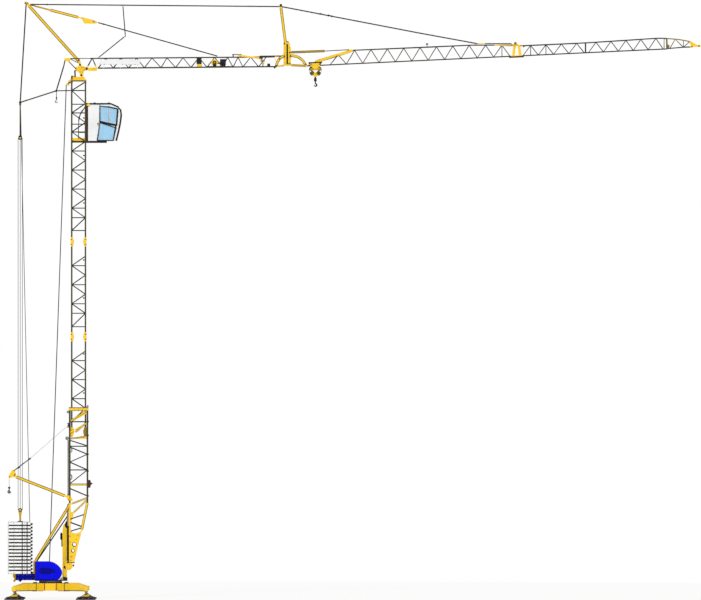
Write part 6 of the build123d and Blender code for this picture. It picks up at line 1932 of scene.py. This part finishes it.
def forge_hook():
    """Forged swivel hook: a turned swivel on a tapering round hook with its latch."""
    forging, latch = meshes(2)
    swivel = [(0, -0.240), (0.020, -0.240), (0.020, -0.165), (0.040, -0.165), (0.050, -0.155),
              (0.050, -0.062), (0.044, -0.050), (0.030, -0.048), (0.030, 0), (0, 0)]
    add_turned(forging, swivel, (TROLLEY_X, 0, HOOK_TOP), UP, 28)
    path, radii = [(TROLLEY_X, 0, HOOK_TOP - 0.232)], [0.022]
    centre, reach = HOOK_TOP - 0.290, 0.048
    for i in range(13):
        spin = math.radians(100 - i * 23)
        path.append((TROLLEY_X + reach * math.cos(spin), 0, centre + reach * math.sin(spin)))
        radii.append(0.016 + 0.012 * math.sin(math.pi * min(1.0, i / 10)))
    radii[-1] = 0.006
    add_swept(forging, path, radii, 14)
    tip_x, _, tip_z = path[-1]
    add_bar(latch, (TROLLEY_X + 0.004, 0, HOOK_TOP - 0.250), (tip_x, 0, tip_z + 0.002), 0.012, 0.006)
    piece("forged_hook", closed(forging), "hook", "black", ("hook",), sharp=40)
    piece("hook_latch", latch, "hook", "steel", bevel=0.001)


class RopesOperator(bpy.types.Operator):
    """Taut wire ropes between the bodies that they join"""
    bl_idname = "crane.ropes"
    bl_label = "Ropes"

    def execute(self, context):
        stretch_stay()
        stretch_falls()
        return {"FINISHED"}


def rope_piece(name, runs, radius, sides, replaces=()):
    """Straight ropes with only their end rings, each from one place to another."""
    bm = bmesh.new()
    for start, end in runs:
        add_rod(bm, start, end, radius, sides)
    rope = finished(name, bm, "rope")
    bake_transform(rope)
    if replaces:
        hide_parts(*replaces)


def stretch_stay():
    """Falls of the rear stay, the hoist rope down to the housing, and the thin control line."""
    reach = STAY_SHEAVE + 0.009 + 0.0003
    falls = [((STAY_X + dx, y, STAY_LOW), (STAY_X + dx, y, STAY_HIGH))
             for dx in (-reach, reach) for y in (-STAY_SHEAVE_Y, STAY_SHEAVE_Y)]
    top = STAY_SHEAVE + 0.0003
    falls.append(((STAY_X, STAY_SHEAVE_Y, STAY_LOW + top), (STAY_X, STAY_SHEAVE_Y, STAY_HIGH - top)))
    rope_piece("stay_falls", falls, 0.009, 12, ("mast_ropes",))
    hoist = ((-0.040, 0, 1.3544), (0.560, 0, 18.380))
    rope_piece("hoist_rope", [hoist], 0.017, 12)
    line = ((-0.745, 0.062, BALLAST_TOP + 0.0003), (STAY_X + 0.015, 0.062, 17.4894))
    rope_piece("control_line", [line], 0.012, 8)


def stretch_falls():
    """Falls between the trolley's sheaves and the hook block."""
    lean = math.atan2(TROLLEY_SHEAVE - BLOCK_SHEAVE, SHEAVE_Z - BLOCK_Z)
    out, down = FALL_REACH * math.cos(lean), FALL_REACH * math.sin(lean)
    falls = [((TROLLEY_X + side * (TROLLEY_SHEAVE + out), y, SHEAVE_Z - down),
              (TROLLEY_X + side * (BLOCK_SHEAVE + out), y, BLOCK_Z - down))
             for side in BOTH for y in (-0.015, 0.015)]
    rope_piece("block_falls", falls, 0.006, 10, ("hook_falls",))


DAVIT_Y = -0.420
DAVIT_FORK = [(-1.230, 4.435), (-1.270, 4.635), (-1.350, 4.635), (-1.490, 4.425), (-1.490, 4.345),
              (-1.380, 4.345)]
DAVIT_HOOK_X = -1.470


class DavitOperator(bpy.types.Operator):
    """Edges, pins, beads and hook of the service davit"""
    bl_idname = "crane.davit"
    bl_label = "Davit"

    def execute(self, context):
        edge_davit()
        pin_davit()
        rig_davit()
        return {"FINISHED"}


def edge_davit():
    """Dark strips of painted shade along the boom's edges, and a thin rim of the same painted shade round
    each face of its fork.
    """
    edges = bmesh.new()
    add_edges(edges, (-1.210, DAVIT_Y, 4.3737), (0.510, DAVIT_Y, 3.702), 0.064, 0.088)
    for side in BOTH:
        near, far = layer(side, 0.029, 0.033)
        add_frame(edges, DAVIT_FORK, 0.014, DAVIT_Y + near, DAVIT_Y + far)
    piece("davit_edge_shade", closed(edges), "davit", "edge")


def pin_davit():
    """Pin heads on the fork, and the caps of the boom's swivel."""
    pins = bmesh.new()
    for side in BOTH:
        out, y = (0, side, 0), DAVIT_Y + side * 0.029
        for place in at_side(y, (-1.290, 4.600), (-1.290, 4.420), (-1.450, 4.380)):
            add_disc(pins, place, out, 0.020, 0.010)
        add_disc(pins, (-1.262, y, 4.475), out, 0.026, 0.006)
        add_disc(pins, (0.640, DAVIT_Y, 3.655 + side * 0.084), (0, 0, side), 0.030, 0.010)
    piece("davit_pins", closed(pins), "davit", "black")


def rig_davit():
    """Line up to the davit's block with its beads, the weight on the line, and the hook."""
    rig = bmesh.new()
    bead = [(0.010, -0.05), (0.024, -0.04), (0.030, -0.02), (0.030, 0.02), (0.024, 0.04), (0.010, 0.05)]
    for place in at_side(DAVIT_Y, (-1.130, 4.711), (-0.740, 5.020)):
        add_turned(rig, bead, place, (0.575, 0, 0.435), 16)
    add_rod(rig, (-1.280, DAVIT_Y, 4.6126), (-0.720, DAVIT_Y, 5.036), 0.018, 12)
    weight = [(0.010, -0.02), (0.044, -0.012), (0.046, 0), (0.044, 0.012), (0.010, 0.02)]
    add_turned(rig, weight, (DAVIT_HOOK_X, DAVIT_Y, 3.990), UP, 24)
    path = at_side(DAVIT_Y, (DAVIT_HOOK_X, 3.948), (DAVIT_HOOK_X, 3.885))
    for i in range(9):
        spin = math.radians(110 - i * 33)
        path.append((DAVIT_HOOK_X + 0.026 * math.cos(spin), DAVIT_Y, 3.828 + 0.030 * math.sin(spin)))
    add_swept(rig, path, [0.016] + [0.022] * (len(path) - 1), 12)
    piece("davit_beads", closed(rig), "davit", "black")


class StageOperator(bpy.types.Operator):
    """Lay the floor, hang the lights and set the camera"""
    bl_idname = "crane.stage"
    bl_label = "Stage"

    def execute(self, context):
        sizes = context.scene.crane_sizes
        lay_floor()
        hang_lights()
        set_camera(sizes.view_lens)
        context.scene.view_settings.view_transform = "Standard"
        return {"FINISHED"}


FLOOR_RADIUS = 40.0
FLOOR_LIFT = 0.8
FLOOR_DROP = 0.004
PALE = (0.93, 0.93, 0.92)


def lay_floor():
    """Round pale floor that the camera sees as nearly white, and that keeps the crane's shadow."""
    bm = bmesh.new()
    bmesh.ops.create_circle(bm, cap_ends=True, segments=96, radius=FLOOR_RADIUS,
                            matrix=Matrix.Translation((8.0, 0, -FLOOR_DROP)))
    mesh = bpy.data.meshes.new("floor")
    bm.to_mesh(mesh)
    bm.free()
    finish = Finish("floor_paper")
    finish.fixed(Base_Color=(*PALE, 1.0), Roughness=0.9)
    white = finish.add("ShaderNodeEmission")
    seen = finish.math("MULTIPLY", finish.add("ShaderNodeLightPath").outputs["Is Camera Ray"], FLOOR_LIFT)
    lifted = finish.add("ShaderNodeMixShader")
    finish.join(seen, lifted.inputs["Fac"])
    finish.join(finish.shader.outputs["BSDF"], lifted.inputs[1])
    finish.join(white.outputs["Emission"], lifted.inputs[2])
    finish.join(lifted.outputs["Shader"], finish.tree.nodes["Material Output"].inputs["Surface"])
    mesh.materials.append(finish.material)
    floor = bpy.data.objects.new("floor", mesh)
    bpy.context.scene.collection.objects.link(floor)


# Each sun: its name, the direction of its light and its strength.
SUNS = (("key_sun", (0.35, 1.0, -0.75), 1.4), ("fill_sun", (-0.8, 0.7, -0.2), 0.45))


def hang_lights():
    """Soft white surroundings, with a broad sun from the near upper left and a weaker one from the right."""
    light_surroundings()
    for name, direction, energy in SUNS:
        sun = bpy.data.objects.new(name, bpy.data.lights.new(name, "SUN"))
        sun.data.energy = energy
        sun.data.angle = math.radians(12)
        sun.rotation_euler = Vector(direction).to_track_quat("-Z", "Y").to_euler()
        sun.location = (0, -20, 30)
        bpy.context.scene.collection.objects.link(sun)


def light_surroundings():
    """Soft light from all round, which the camera and clear or glossy surfaces see as plain white."""
    world = bpy.data.worlds.new("studio")
    world.use_nodes = True
    nodes, join = world.node_tree.nodes, world.node_tree.links.new
    soft, white = nodes["Background"], nodes.new("ShaderNodeBackground")
    for background, strength in ((soft, 0.58), (white, 1.0)):
        background.inputs["Color"].default_value = (1.0, 1.0, 1.0, 1.0)
        background.inputs["Strength"].default_value = strength
    rays = nodes.new("ShaderNodeLightPath").outputs
    seen = rays["Is Camera Ray"]
    for ray in ("Is Glossy Ray", "Is Transmission Ray"):
        either = nodes.new("ShaderNodeMath")
        either.operation = "MAXIMUM"
        join(seen, either.inputs[0])
        join(rays[ray], either.inputs[1])
        seen = either.outputs["Value"]
    choice = nodes.new("ShaderNodeMixShader")
    join(seen, choice.inputs["Fac"])
    join(soft.outputs["Background"], choice.inputs[1])
    join(white.outputs["Background"], choice.inputs[2])
    join(choice.outputs["Shader"], nodes["World Output"].inputs["Surface"])
    bpy.context.scene.world = world


# The photograph's frame: its centre on the crane and its width, and the camera's film.
VIEW_CENTRE = (10.711, 10.689)
VIEW_WIDTH = 25.036
FILM_WIDTH = 36.0


def set_camera(lens):
    """Level side view from far off, along +Y, framed as the photograph is."""
    data = bpy.data.cameras.new("side_view")
    data.sensor_width = FILM_WIDTH
    data.sensor_fit = "HORIZONTAL"
    data.lens = lens
    distance = VIEW_WIDTH * lens / FILM_WIDTH
    data.clip_start = 1.0
    data.clip_end = distance * 3
    camera = bpy.data.objects.new("side_view", data)
    camera.location = (VIEW_CENTRE[0], -distance, VIEW_CENTRE[1])
    camera.rotation_euler = (math.radians(90), 0, 0)
    bpy.context.scene.collection.objects.link(camera)
    bpy.context.scene.camera = camera


class CranePanel(bpy.types.Panel):
    """The crane's sizes, colours and building steps"""
    bl_idname = "VIEW3D_PT_crane"
    bl_label = "Tower crane"
    bl_space_type = "VIEW_3D"
    bl_region_type = "UI"
    bl_category = "Crane"

    def draw(self, context):
        for settings in (context.scene.crane_sizes, context.scene.crane_colours):
            for name in settings.bl_rna.properties.keys():
                if name not in ("rna_type", "name"):
                    self.layout.prop(settings, name)
        for step in STEPS:
            self.layout.operator(step.bl_idname)


STEPS = (FinishOperator, RoundedOperator, LatticeOperator, BaseOperator, BallastOperator, HousingOperator,
         MastFootOperator, MastOperator, CabOperator, HeadOperator, JibOperator, TrolleyOperator,
         RopesOperator, DavitOperator, StageOperator)
CLASSES = (CraneColours, CraneSizes, *STEPS, CranePanel)


def register():
    for cls in CLASSES:
        bpy.utils.register_class(cls)
    bpy.types.Scene.crane_colours = bpy.props.PointerProperty(type=CraneColours)
    bpy.types.Scene.crane_sizes = bpy.props.PointerProperty(type=CraneSizes)


def unregister():
    del bpy.types.Scene.crane_sizes
    del bpy.types.Scene.crane_colours
    for cls in reversed(CLASSES):
        bpy.utils.unregister_class(cls)


def main():
    register()
    for step in STEPS:
        group, name = step.bl_idname.split(".")
        getattr(getattr(bpy.ops, group), name)()


if __name__ == "__main__":
    main()
